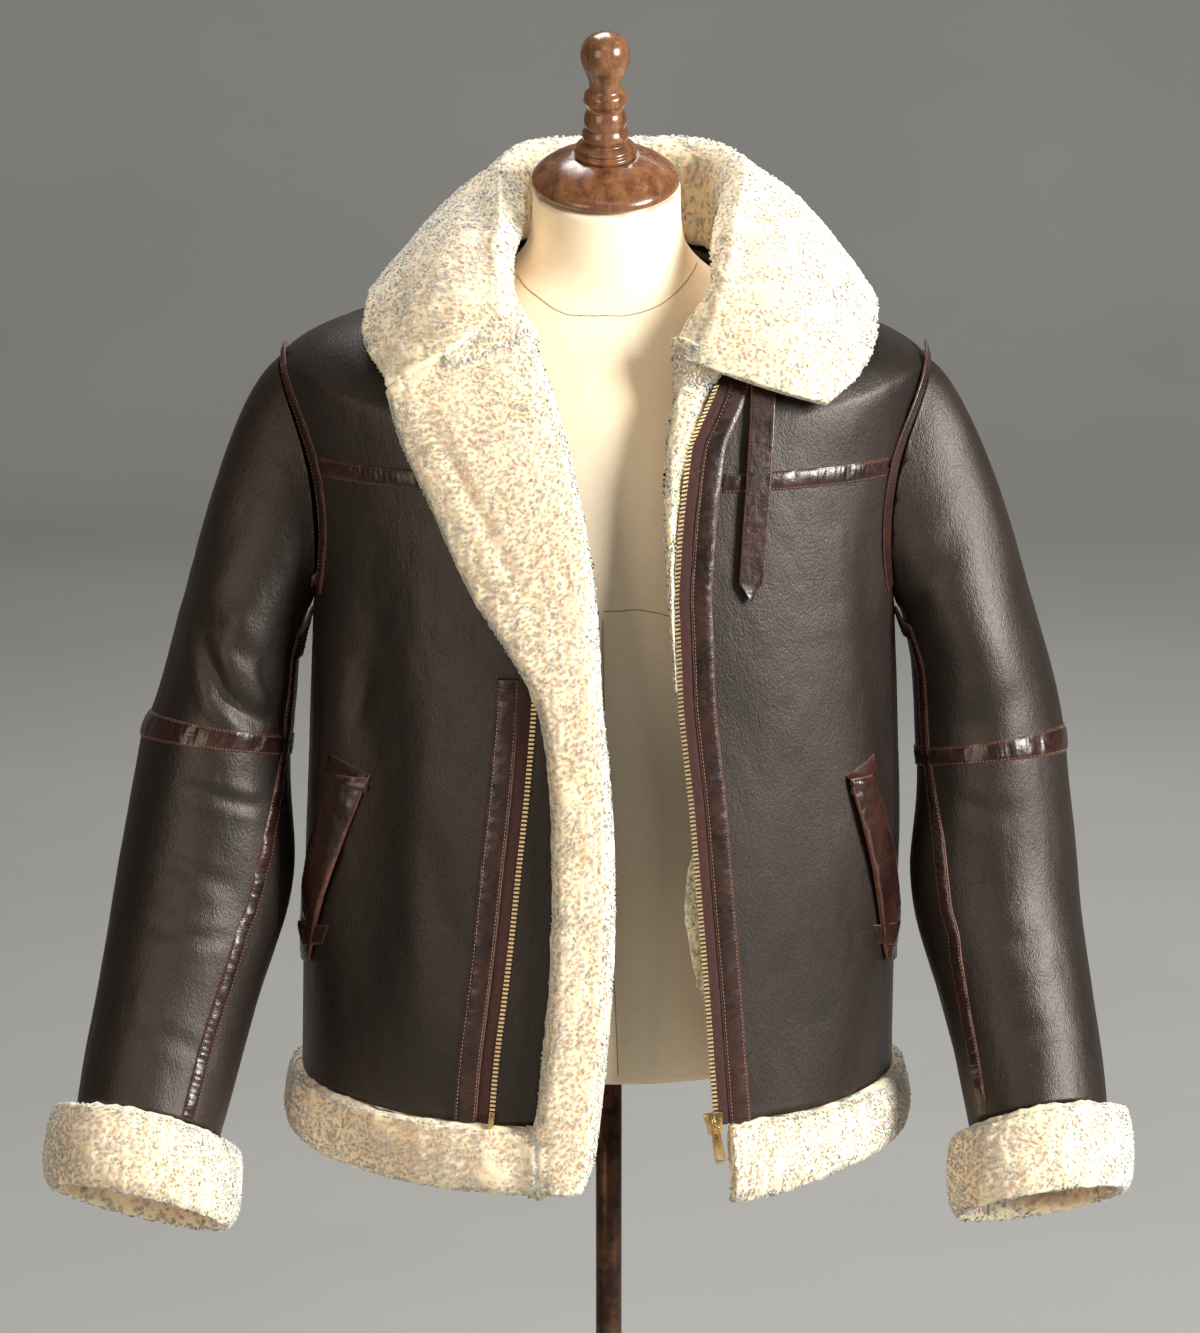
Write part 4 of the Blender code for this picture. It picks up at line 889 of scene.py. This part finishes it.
def tufts(name, root, normal, length, clump_at, clump_normal, width):
    """Short blunt locks that lean together in clumps: two rings of three points and a tip."""
    count, pull, bend = len(root), 0.35, 0.8
    lean = noise3(root, 7.0, 31) * 0.4 + noise3(root, 2.6, 41) * 0.3
    long = length[:, None]
    tip = root + unit(normal + lean) * long
    k = nearest(root, clump_at)
    goal = clump_at[k] + clump_normal[k] * long
    tip = tip * (1 - pull) + goal * pull
    ahead = unit(tip - root)
    mid = root + (tip - root) * bend + noise3(root, 1.9, 51) * 0.3
    side = unit(np.cross(ahead, RNG.normal(size=(count, 3))))
    other = np.cross(ahead, side)
    wide = (width * (0.75 + 0.5 * RNG.random(count)))[:, None]
    rings = []
    for centre, radius, turn in ((root, 0.85, 0.0), (mid, 0.95, 0.6)):
        for j in range(3):
            w = 2 * math.pi * j / 3 + turn
            rings.append(centre + (side * math.cos(w) + other * math.sin(w)) * radius * wide)
    points = np.stack(rings + [tip], axis=1)
    own = points - np.stack([root] * 3 + [mid] * 3 + [root + (tip - root) * bend], axis=1)
    shade = unit(unit(own) * 0.20 + normal[:, None]).reshape(-1, 3)
    one = np.array([(0, 1, 4), (0, 4, 3), (1, 2, 5), (1, 5, 4), (2, 0, 3), (2, 3, 5),
                    (3, 4, 6), (4, 5, 6), (5, 3, 6)])
    faces = (np.arange(count)[:, None, None] * 7 + one[None]).reshape(-1, 3)
    mesh = bpy.data.meshes.new(name)
    mesh.vertices.add(count * 7)
    mesh.vertices.foreach_set("co", (points * MM).ravel())
    mesh.loops.add(faces.size)
    mesh.loops.foreach_set("vertex_index", faces.ravel().astype(np.int32))
    mesh.polygons.add(len(faces))
    mesh.polygons.foreach_set("loop_start", np.arange(0, faces.size, 3, dtype=np.int32))
    mesh.update(calc_edges=True)
    mesh.validate()
    # pile number from root to tip; the wool material paints shade where it is low, at the roots
    mark(mesh, "pile", np.tile(np.array([0, 0, 0, 0.7, 0.7, 0.7, 1.0]), count))
    mesh.materials.append(WOOL)
    mesh.shade_smooth()
    mesh.normals_split_custom_set_from_vertices([tuple(n) for n in shade])
    obj = linked(name, mesh)
    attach(obj, COAT)


def blocked(points, normals, reach, tree, start=1.2):
    """True where the way out along the normal meets the tree within reach, in millimetres."""
    out = np.zeros(len(points), bool)
    for k, (p, n) in enumerate(zip(points * MM, normals)):
        hit = tree.ray_cast(Vector(p + n * start * MM), Vector(n), reach * MM)
        out[k] = hit[0] is not None
    return out


def thickness(points, normals, tree):
    """How far a point's own piece goes on behind it, in millimetres, looking 50 mm deep."""
    out = np.full(len(points), 99.0)
    for k, (p, n) in enumerate(zip(points * MM, normals)):
        hit = tree.ray_cast(Vector(p - n * 0.0012), Vector(-n), 0.05)
        if hit[0] is not None:
            out[k] = hit[3] / MM
    return out


def clear_of(points, tree, reach):
    """0 where a point touches the tree, 1 where it is reach or more away, in millimetres."""
    far = [tree.find_nearest(Vector(p * MM), reach * MM)[3] for p in points]
    return np.array([1.0 if d is None else min(1.0, d / MM / reach) for d in far])


# Gaps between wool pieces that the fleece closes: x, y, z along their two sides.
JOINS = {
    "collar_lapel_fleece": (
        [(-126, -117, 1330), (-110, -114, 1340), (-95, -111, 1349), (-82, -107, 1357),
         (-67, -99, 1364)],
        [(-122, -121, 1315), (-104, -119, 1323), (-85, -115, 1330), (-67, -110, 1334),
         (-50, -98, 1334)]),
    "hem_lapel_fleece": (
        [(-62, -171, 749), (-63, -177, 739), (-64, -180, 725), (-64, -180, 707),
         (-61, -177, 693)],
        [(-51, -180, 750), (-50, -185, 741), (-50, -186, 727), (-50, -186, 708),
         (-50, -185, 694)]),
    "lining_edge_fleece": (
        [(68, -150, 967), (61, -150, 948), (57, -150, 919), (60, -150, 884), (69, -150, 841)],
        [(74, -146, 966), (77, -146, 941), (78, -146, 918), (81, -146, 883), (82, -146, 840)]),
    "collar_facing_fleece": (
        [(47, -105, 1340), (56, -112, 1340), (66, -117, 1336), (76, -119, 1330),
         (88, -120, 1322)],
        [(47, -109, 1297), (54, -112, 1296), (61, -112, 1295), (68, -109, 1295),
         (74, -105, 1296)]),
}
WOOL_NODES = ["collar", "hem_band", "lapel_right", "facing_left", "cuff_left", "cuff_right"]
SKIN_FADE, JOIN_FADE = 6.0, 10.0      # how far the wool changes towards leather and other wool
CLUMP = 5.5                           # spacing of the points that locks lean towards
BACK = 30                             # behind this y, the wool is hardly seen


def fleece(node, coat, spacing=2.8, leather=None, hub=None, reach=1.6, **pile):
    """A wool piece in the place of a CAD solid; its leather side is left smooth.

    The leather side is where the coat is within the leather distance behind a thin wall, and
    points that face the hub are the inside, which gets fewer locks.
    """
    mesh = fine(node, 3, sharp=50, crease=0.62)
    points, normals = coords(mesh), coords(mesh, "normal")
    own = node_tree([node])
    mates = node_tree([other for other in WOOL_NODES if other != node])
    hidden = blocked(points, normals, reach, coat)
    hidden |= blocked(points, normals, 9.0, own, 5.0)
    skin, inner = np.zeros((2, len(points)), bool)
    if leather:
        skin = blocked(points, normals, leather, coat) & (thickness(points, normals, own) < 17.5)
    if hub:
        middle = np.array([hub(p) for p in points * MM]) / MM
        inner = (normals * unit(points - middle)).sum(axis=1) < -0.3
    pile_on(node, mesh, coat, mates, hidden, skin, inner, spacing, nodes=[node], **pile)


def ribs(points):
    """Upright ridges of the pile."""
    return np.abs(noise(points * (1, 1, 0.22), 8.5, 73)) * 2.2 - 0.8


def waves(points, rib):
    """Uneven edge of the pile along the leather."""
    return rib * 2.0 * noise(points * (1, 1, 0.2), 8.0, 74)


def pile_on(name, mesh, coat, mates, hidden, skin, inner, spacing, over=0.85, shrink=0.75,
            rib=0.0, nodes=()):
    """Makes a mesh into a nubbly wool shell with locks standing out of it."""
    points, normals = coords(mesh), coords(mesh, "normal")
    streak, grooves = (1, 1, 0.6), GROOVES.get(name, ())
    near_skin = (1 - clear_of(points, coat, SKIN_FADE)) * ~skin
    joined = (1 - clear_of(points, mates, JOIN_FADE)) * ~skin
    curl = np.abs(noise(points * streak, 5.2, 71)) * 1.6 - 0.5
    rough = curl + 0.8 * noise(points, 14, 72) + rib * ribs(points)
    down = (shrink + 0.3) * (1 - joined) * (1 - near_skin) * ~skin
    down = down - 4.5 * joined - (2.4 + waves(points, rib)) * near_skin - rough * ~skin
    down = down - crease_push(points, normals, grooves)
    at, normal = scatter(mesh, (~hidden & ~skin).astype(float), spacing)
    chance = np.where(at[:, 1] > BACK - 5, 0.55, 1.0)
    if inner.any():
        chance[inner[nearest(at, points)]] = 0.35
    keep = RNG.random(len(at)) < chance
    at, normal, chance = at[keep], normal[keep], chance[keep]
    clump_at, clump_normal = scatter(mesh, np.ones(len(points)), CLUMP)
    sizes = 1.0 + 0.40 * noise(at * streak, 5, 61) + 0.30 * noise(at, 13, 72)
    sizes = sizes + rib * 0.28 * ribs(at)
    near = 1 - clear_of(at, mates, JOIN_FADE)
    edge = 1 - clear_of(at, coat, SKIN_FADE)
    sink = crease_push(at, normal, grooves)
    root = at - normal * (shrink + 0.9 - 3.7 * near - (1.8 + waves(at, rib)) * edge - sink)[:, None]
    tufts(name + "_locks", root, normal, (shrink + over) * sizes, clump_at - clump_normal * shrink,
          clump_normal, 1.15 / chance ** 0.4)
    put(mesh, points - normals * down[:, None])
    # lower pile number in the hollows of the shell, where the wool material paints shade
    mark(mesh, "pile", np.clip(0.55 + 0.3 * rough, 0.0, 1.0))
    flags = np.zeros(len(mesh.polygons), np.int32)
    if skin.any():
        for k, poly in enumerate(mesh.polygons):
            flags[k] = int(skin[list(poly.vertices)].sum() * 2 > len(poly.vertices))
    mesh.polygons.foreach_set("material_index", flags)
    few = hidden | skin | inner | (points[:, 1] > BACK)
    if len(points) > 8000:
        thin_hidden(mesh, few, 0.9 - 0.62 * few.mean())
    flags = np.empty(len(mesh.polygons), np.int32)
    mesh.polygons.foreach_get("material_index", flags)
    adopt(name + "_shell", mesh, [WOOL, LEATHER], nodes=nodes)
    mesh.polygons.foreach_set("material_index", flags)
    mesh.update()


def join(name, top, low, thick):
    """Wool that closes the gap between two wool pieces, between the lines top and low."""
    rows, columns, swell = 26, 13, 1.5
    share = np.linspace(0, 1, columns)
    flat = between(even(top, rows), even(low, rows), share)
    normal = unit(np.cross(np.gradient(flat, axis=0), np.gradient(flat, axis=1)))
    normal *= np.where(normal[..., 1:2] > 0, -1, 1)
    over = flat + normal * swell * np.sin(np.pi * share)[None, :, None]
    under = flat - normal * thick
    n, faces = rows * columns, []
    for r in range(rows - 1):
        for c in range(columns - 1):
            q = [r * columns + c, r * columns + c + 1, (r + 1) * columns + c + 1,
                 (r + 1) * columns + c]
            faces += [q, [k + n for k in reversed(q)]]
    rim = list(range(columns)) + [r * columns + columns - 1 for r in range(1, rows)]
    rim += [n - 2 - c for c in range(columns - 1)] + [r * columns for r in range(rows - 2, 0, -1)]
    faces += [[q, p, p + n, q + n] for p, q in zip(rim, rim[1:] + rim[:1])]
    mesh = closed_mesh(name, np.concatenate([over.reshape(-1, 3), under.reshape(-1, 3)]), faces)
    none = np.zeros(len(mesh.vertices), bool)
    back = np.arange(len(none)) >= n
    far = node_tree(["finial"])
    pile_on(name, mesh, far, far, back, none, none, 2.6, shrink=0.6, over=1.8)


# ---------------------------------------------------------------- hardware
def beveled(node, width, body):
    """A crisp brass CAD part with small rounded edges."""
    bm = bmesh.new()
    bm.from_mesh(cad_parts[node].data)
    bmesh.ops.remove_doubles(bm, verts=bm.verts[:], dist=WELD)
    bmesh.ops.dissolve_limit(bm, angle_limit=math.radians(2), verts=bm.verts[:],
                             edges=bm.edges[:])
    edges = [e for e in bm.edges if e.calc_face_angle(0.0) > math.radians(30)]
    bmesh.ops.bevel(bm, geom=edges, offset=width * MM, segments=2, profile=0.5,
                    affect="EDGES", clamp_overlap=True)
    mesh = bpy.data.meshes.new(node + "_fine")
    bm.to_mesh(mesh)
    bm.free()
    adopt(node + "_fine", mesh, [BRASS], body=body, nodes=[node])
    mesh.set_sharp_from_angle(angle=math.radians(40))


def smooth_part(node, look, relief=0.0, size=4.0):
    """A CAD part with rounder facets and slight unevenness."""
    mesh = fine(node, 2, sharp=35)
    if relief:
        points, normals = coords(mesh), coords(mesh, "normal")
        put(mesh, points + normals * (relief * noise(points, size, 5))[:, None])
    adopt(node + "_fine", mesh, [look], nodes=[node])


def teeth(name, line, normal, inward):
    """A row of zip teeth along a tape edge, each a small block with a waist."""
    pitch, shift = 3.2, 0.2
    count = int(length_of(line) / pitch)
    at, up, side = (even(v, count) for v in (line, normal, inward))
    shape = [(-1.6, 0.7, -0.6), (-0.3, 1.05, -0.8), (1.2, 0.9, -0.8), (2.6, 1.0, -0.7)]
    points, faces = [], []
    for k in range(count):
        t = unit(at[min(k + 1, count - 1)] - at[max(k - 1, 0)])
        n, s = unit(up[k]), unit(side[k])
        faces += tube(len(points), 4, 4)
        for across, half, low in shape:
            for j, h in ((-half, low), (-half * 0.85, 0.55), (half * 0.85, 0.55), (half, low)):
                points.append(at[k] + s * (across + shift) + t * j + n * (h + 0.35))
    piece(name, points, faces, TEETH, smooth=False)


# ---------------------------------------------------------------- the coat
LEATHER_NODES = ["back_panel", "front_left_lower", "front_left_yoke", "front_right_lower",
                 "front_right_yoke", "sleeve_left_upper", "sleeve_left_lower",
                 "sleeve_right_upper", "sleeve_right_lower"]
HUBS = {"left": sleeve_hub("left"), "right": sleeve_hub("right"), "body": body_hub}


def make_panels():
    """The leather panels of body and sleeves."""
    for node in LEATHER_NODES:
        panel(node, HUBS[node.split("_")[1] if node.startswith("sleeve") else "body"])


def make_wool():
    """Collar, hem, lapel, facing and cuffs, and the wool that joins them."""
    coat = node_tree(LEATHER_NODES)
    fleece("collar", coat, spacing=3.6, leather=48.0)
    fleece("hem_band", coat, spacing=3.25, hub=body_hub, rib=1.2)
    fleece("lapel_right", coat, spacing=3.2, reach=22.0)
    fleece("facing_left", coat, over=1.2, shrink=1.0)
    for node in ("cuff_left", "cuff_right"):
        low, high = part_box(node)
        fleece(node, coat, spacing=3.2, rib=0.8,
               hub=lambda c, m=tuple((low + high) / 2): (m[0], m[1], c[2]))
    for name, (top, low) in JOINS.items():
        join(name, top, low, 3.0 if name.startswith("lining") else 8.0)


def zip_side(node, sign):
    """The rails of a ribbon beside the zip, the one nearer the opening first."""
    a, b, normal, _ = rails(node, body_hub, 2.0)
    if (a[:, 0].mean() - b[:, 0].mean()) * sign > 0:
        a, b = b, a
    return a, b, normal


def make_bands():
    """Seam tapes, zip tapes and strips, with their stitches."""
    hide = search_tree(SKINS, 1 / MM)
    for node in list(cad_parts):
        if not node.startswith(("armhole_tape", "elbow_tape", "seam_tape", "yoke_tape")):
            continue
        side = "left" if "left" in node else "right"
        hub = body_hub if node.startswith("yoke") else HUBS[side]
        a, b, normal, closed = rails(node, hub, 1.7)
        if node.startswith("seam_tape"):
            low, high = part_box("elbow_tape_" + side)
            a, b, normal = past_elbow(a, b, normal, (low[2] + high[2]) / 2 / MM)
        over = band(node + "_sewn", a, b, normal, hide, closed, nodes=[node], crinkle=0.9)
        sew(node, over, normal, 1.5, closed, pitch=2.8, length=1.9)
    for side, sign in (("left", 1), ("right", -1)):
        node = "zip_tape_" + side
        a, b, normal = zip_side(node, sign)
        over = band(node + "_woven", a, b, normal, hide, thick=0.9, arch=0.1, crinkle=0.1,
                    mat=TAPE, nodes=[node])
        teeth("zip_teeth_" + side, over[:, 1] + normal * 0.5, normal, unit(b - a))
        node = "zip_strip_" + side
        a, b, normal = zip_side(node, sign)
        over = band(node + "_hide", a, b, normal, hide, thick=1.3, arch=0.7, columns=13,
                    crinkle=0.55, nodes=[node])
        sew(node, over, normal, 2.0, mat=PALE_THREAD)


def outline(node, inset):
    """Line inside the outline of a plate's outer face, with its normals."""
    bm = welded(node)
    outer = outer_first(patches(bm), body_hub)[0]
    line = np.array([v.co for v in loops_of(outer)[0]]) / MM
    flat = np.array([f.normal for f in outer]) * np.array([[f.calc_area()] for f in outer])
    centre = np.array([f.calc_center_median() for f in outer]) / MM
    normal = unit(flat[nearest(line, centre)])
    bm.free()
    ahead = unit(np.roll(line, -1, axis=0) - np.roll(line, 1, axis=0))
    path = line + np.cross(normal, ahead) * inset
    return np.concatenate([path, path[:1]]), np.concatenate([normal, normal[:1]])


# Edges of the tabs over the ends of the left pocket, upper and lower: x, y, z.
TABS = {"top": ([(181, -111, 1006), (205, -86, 1018)], [(183, -110, 992), (208, -82, 1003)]),
        "low": ([(203, -87, 884), (226, -52, 879)], [(207, -80, 868), (220, -62, 862)])}


def pocket_tabs(node):
    """Short stitched tabs over both ends of a pocket welt."""
    hide, count = search_tree(SKINS, 1 / MM), 18
    for name, ends in TABS.items():
        a, b = (np.array(end, float) for end in ends)
        if node == "pocket_right":
            for line in (a, b):
                line[:, 0] = -184 - (line[:, 0] - 182) * 1.32
        ahead = unit(a[1] - a[0])
        normal = unit(np.array([abs(ahead[1]) * np.sign(a[0, 0]), -abs(ahead[0]), 0]))
        normal = np.repeat(normal[None], count, axis=0)
        over = band(f"{node}_tab_{name}", even(a, count), even(b, count), normal, hide,
                    thick=1.1, arch=0.4, crinkle=0.4, most=8.0)
        sew(f"{node}_tab_{name}", over, normal, 1.8, pitch=2.6, length=1.8, mat=PALE_THREAD)


def make_plates():
    """The collar strap, with a pointed tip, and the pocket welts, which stand proud."""
    tip, middle = 15.0, 106.6
    for node in ("collar_strap", "pocket_left", "pocket_right"):
        strap = node == "collar_strap"
        mesh = fine(node, 3, sharp=28)
        points, normals = coords(mesh), coords(mesh, "normal")
        low, high = points[:, 2].min(), points[:, 2].max()
        move = np.minimum(noise(points, 9, 81), 0.3) * 0.5 + 0.2 * noise(points, 3.5, 82)
        if strap:
            move = move * 0.35
            share = np.clip((points[:, 2] - low) / tip, 0.03, 1.0)
            round_end = np.sqrt(1 - (1 - share) ** 2)
            points[:, 0] = middle + (points[:, 0] - middle) * np.where(
                share < 1, np.minimum(1.0, share * 1.1) / round_end, 1.0)
        else:
            full = np.sin(np.pi * (points[:, 2] - low) / (high - low))
            away = (normals[:, :2] * unit(points[:, :2])).sum(axis=1) > 0.2
            move = move + 0.9 * noise(points, 24, 83) + 0.5 * np.minimum(noise(points, 7, 84), 0)
            move = np.where(away, move + 2.6 * full, 0.0)
        put(mesh, points + normals * move[:, None])
        path, normal = outline(node, 2.6 if strap else 2.2)
        facing = unit(normal.mean(axis=0))
        mark(mesh, "edge", np.clip((0.80 - np.abs(normals @ facing)) / 0.25, 0, 1))
        adopt(node + "_hide", mesh, [TRIM], nodes=[node])
        if strap:
            stitches(node + "_thread", path + normal * 0.2, normal, mat=DARK_THREAD)
        else:
            SKINS.append(mesh)
            pocket_tabs(node)


# ---------------------------------------------------------------- the form and hardware
# Seams of the linen on the front of the form: x, y, z.
LINEN_SEAMS = {
    "neck": [(-70, -40, 1380), (-62, -53, 1371), (-52, -62, 1364), (-42, -66, 1357),
             (-32, -69, 1353), (-18, -70, 1352), (-3, -70, 1352), (12, -70, 1352),
             (26, -69, 1355), (39, -65, 1360), (50, -59, 1368), (60, -48, 1378), (67, -25, 1388)],
    "centre": [(-5, -109, 1126), (-4, -98, 1062), (-2, -86, 998), (0, -92, 936), (2, -100, 875),
               (5, -103, 821), (7, -99, 767)],
    "bust": [(-4, -110, 1132), (8, -110, 1132), (20, -109, 1133), (32, -108, 1131),
             (44, -104, 1128), (53, -102, 1125)],
}


def seam_cord(name, line, normal):
    """A thin raised seam that follows a line on a surface."""
    radius, sides = 0.34, 6
    side = np.cross(unit(np.gradient(line, axis=0)), normal)
    rings = []
    for j in range(sides):
        w = 2 * math.pi * j / sides
        rings.append(line + (side * math.cos(w) * 1.5 + normal * math.sin(w)) * radius)
    points = np.stack(rings, axis=1).reshape(-1, 3)
    piece(name, points, tube(0, len(line), sides), SEAM)


def make_form():
    """The linen torso with its seams, the wooden cap and finial, the pole and the base."""
    mesh = fine("form_torso", 2, sharp=50)
    points, normals = coords(mesh), coords(mesh, "normal")
    move = 0.5 * noise(points, 40, 91) + 0.12 * noise(points, 9, 92)
    put(mesh, points + normals * move[:, None])
    adopt("form_torso_linen", mesh, [LINEN], nodes=["form_torso"])
    surface = search_tree([mesh])
    for name, line in LINEN_SEAMS.items():
        rows = even(line, 60 if name != "centre" else 130)
        found = [surface.find_nearest(Vector(p * MM)) for p in rows]
        seam_cord("linen_seam_" + name, np.array([f[0] for f in found]) / MM,
                  np.array([f[1] for f in found]))
    smooth_part("neck_cap", WOOD, relief=0.15, size=9)
    smooth_part("finial", WOOD, relief=0.08, size=7)
    smooth_part("pole", BRONZE)
    smooth_part("base", BRONZE)


def make_hardware():
    """The zip's brass parts, each with the width of its rounded edges."""
    for node, width in (("zip_slider", 0.35), ("slider_bridge", 0.25), ("zip_pull", 0.2),
                        ("zip_box", 0.35), ("zip_pin", 0.4)):
        beveled(node, width, PULL if node == "zip_pull" else COAT)


# ---------------------------------------------------------------- stage
# The camera, in metres: it looks down at the coat's middle from in front.
PITCH = math.radians(10.5)
CAMERA_X, CAMERA_AWAY, CAMERA_AIM = -0.007, 3.6, 1.07
FOCAL_PIXELS, PHOTO_HEIGHT, SENSOR = 4615.4, 1333, 36


def lamp(name, at, aim, size, power, color=(1, 1, 1)):
    """A rectangular soft light, in metres and watts."""
    light = bpy.data.lights.new(name, "AREA")
    light.shape = "RECTANGLE"
    light.size, light.size_y = size
    light.energy = power
    light.color = color
    holder = linked(name, light)
    holder.location = at
    holder.rotation_euler = (Vector(aim) - Vector(at)).to_track_quat("-Z", "Y").to_euler()


def studio():
    """A pale round floor that curves up into a wall all round."""
    flat, bend, wall, turns, steps = 7600, 2400, 5200, 72, 12
    look = Look("studio_paper", (0.36, 0.36, 0.35), 0.9)
    look.color(look.mix(look.ramp(look.noise(look.place(), 1.2, 3), 0.3, 0.7),
                        (0.345, 0.345, 0.335), (0.375, 0.375, 0.365)))
    profile = [(600, 0), (2500, 0), (5000, 0), (flat, 0)]
    for k in range(1, steps + 1):
        w = math.pi / 2 * k / steps
        profile.append((flat + bend * math.sin(w), bend - bend * math.cos(w)))
    profile.append((flat + bend, wall))
    points, faces = [(0, 0, 0)], []
    for r, z in profile:
        for t in range(turns):
            w = 2 * math.pi * t / turns
            points.append((r * math.cos(w), r * math.sin(w), z))
    for t in range(turns):
        u = (t + 1) % turns
        faces.append((0, 1 + t, 1 + u))
        for k in range(len(profile) - 1):
            a, b = 1 + k * turns, 1 + (k + 1) * turns
            faces.append((a + t, b + t, b + u, a + u))
    mesh = bpy.data.meshes.new("studio")
    mesh.from_pydata(np.array(points, float) * MM, [], faces)
    mesh.materials.append(look.mat)
    mesh.shade_smooth()
    linked("studio", mesh)


def stage():
    """Studio, lights, air and the camera."""
    studio()
    lamp("key", (2.9, -2.0, 2.4), (0, 0, 1.1), (1.2, 1.6), 290, (1.0, 0.975, 0.93))
    lamp("fill", (-2.2, -3.1, 1.8), (0, 0, 1.0), (1.6, 2.2), 48, (1.0, 0.84, 0.66))
    lamp("top", (-0.2, 0.9, 3.4), (0, 0, 1.2), (1.2, 1.0), 46)
    lamp("backdrop", (0.8, 3.4, 4.6), (1.4, 7.0, 0.0), (3.0, 2.0), 170)
    lamp("front", (0.5, -4.4, 5.2), (0.0, -7.5, 0.0), (3.0, 2.0), 100)
    world = bpy.data.worlds.new("studio_air")
    world.use_nodes = True
    world.node_tree.nodes["Background"].inputs[0].default_value = (1.0, 0.82, 0.60, 1)
    world.node_tree.nodes["Background"].inputs[1].default_value = 0.11
    bpy.context.scene.world = world
    bpy.context.scene.view_settings.view_transform = "Standard"

    camera = bpy.data.cameras.new("camera")
    camera.sensor_width = SENSOR
    camera.lens = FOCAL_PIXELS / PHOTO_HEIGHT * SENSOR
    camera.clip_end = 60
    holder = linked("camera", camera)
    holder.location = (CAMERA_X, -CAMERA_AWAY * math.cos(PITCH),
                       CAMERA_AIM + CAMERA_AWAY * math.sin(PITCH))
    holder.rotation_euler = (math.pi / 2 - PITCH, 0, 0)
    bpy.context.scene.camera = holder


# Flat sizes of the cut pieces: width and length in metres, how each is held, what it rests on.
CUTS = {
    "back_panel": (0.610, 0.641, "draped", "form_torso"),
    "front_left_lower": (0.260, 0.491, "hung", "front_left_yoke"),
    "front_left_yoke": (0.218, 0.152, "draped", "form_torso"),
    "front_right_lower": (0.327, 0.493, "hung", "front_right_yoke"),
    "front_right_yoke": (0.246, 0.152, "draped", "form_torso"),
    "sleeve_left_upper": (0.408, 0.318, "hung", "front_left_yoke back_panel"),
    "sleeve_left_lower": (0.424, 0.316, "hung", "sleeve_left_upper"),
    "sleeve_right_upper": (0.399, 0.309, "hung", "front_right_yoke back_panel"),
    "sleeve_right_lower": (0.437, 0.330, "hung", "sleeve_right_upper"),
    "collar": (0.189, 1.100, "folded", "back_panel front_left_yoke"),
    "lapel_right": (0.140, 0.651, "folded", "front_right_lower front_right_yoke"),
    "facing_left": (0.034, 0.237, "folded", "front_left_yoke"),
    "hem_band": (0.072, 1.175, "folded", "back_panel front_left_lower"),
    "cuff_left": (0.072, 0.411, "folded", "sleeve_left_lower"),
    "cuff_right": (0.079, 0.388, "folded", "sleeve_right_lower"),
    "armhole_tape_left": (0.0145, 0.197, "laid", "sleeve_left_upper"),
    "armhole_tape_right": (0.0145, 0.197, "laid", "sleeve_right_upper"),
    "elbow_tape_left": (0.020, 0.432, "laid", "sleeve_left_lower"),
    "elbow_tape_right": (0.020, 0.447, "laid", "sleeve_right_lower"),
    "seam_tape_left_lower": (0.014, 0.262, "laid", "sleeve_left_lower"),
    "seam_tape_left_upper": (0.0145, 0.108, "laid", "sleeve_left_upper"),
    "seam_tape_right_lower": (0.0145, 0.266, "laid", "sleeve_right_lower"),
    "seam_tape_right_upper": (0.0145, 0.101, "laid", "sleeve_right_upper"),
    "yoke_tape_left": (0.016, 0.152, "laid", "front_left_yoke"),
    "yoke_tape_right": (0.016, 0.117, "laid", "front_right_yoke"),
    "zip_tape_left": (0.012, 0.570, "laid", "front_left_lower"),
    "zip_tape_right": (0.013, 0.348, "laid", "front_right_lower"),
    "zip_strip_left": (0.018, 0.570, "laid", "front_left_lower"),
    "zip_strip_right": (0.019, 0.345, "laid", "front_right_lower"),
    "collar_strap": (0.022, 0.170, "hung", "collar"),
    "pocket_left": (0.041, 0.158, "laid", "front_left_lower"),
    "pocket_right": (0.041, 0.158, "laid", "front_right_lower"),
}
ADDED = {"collar": "collar_lapel_fleece collar_facing_fleece", "hem_band": "hem_lapel_fleece",
         "front_left_lower": "lining_edge_fleece"}


def declare():
    for node, (width, length, held, rests) in CUTS.items():
        starts = [node + part for part in ("_locks", "_thread", "_tab")]
        starts += ADDED.get(node, "").split()


make_panels()
make_wool()
make_bands()
make_plates()
make_form()
make_hardware()
stage()
declare()
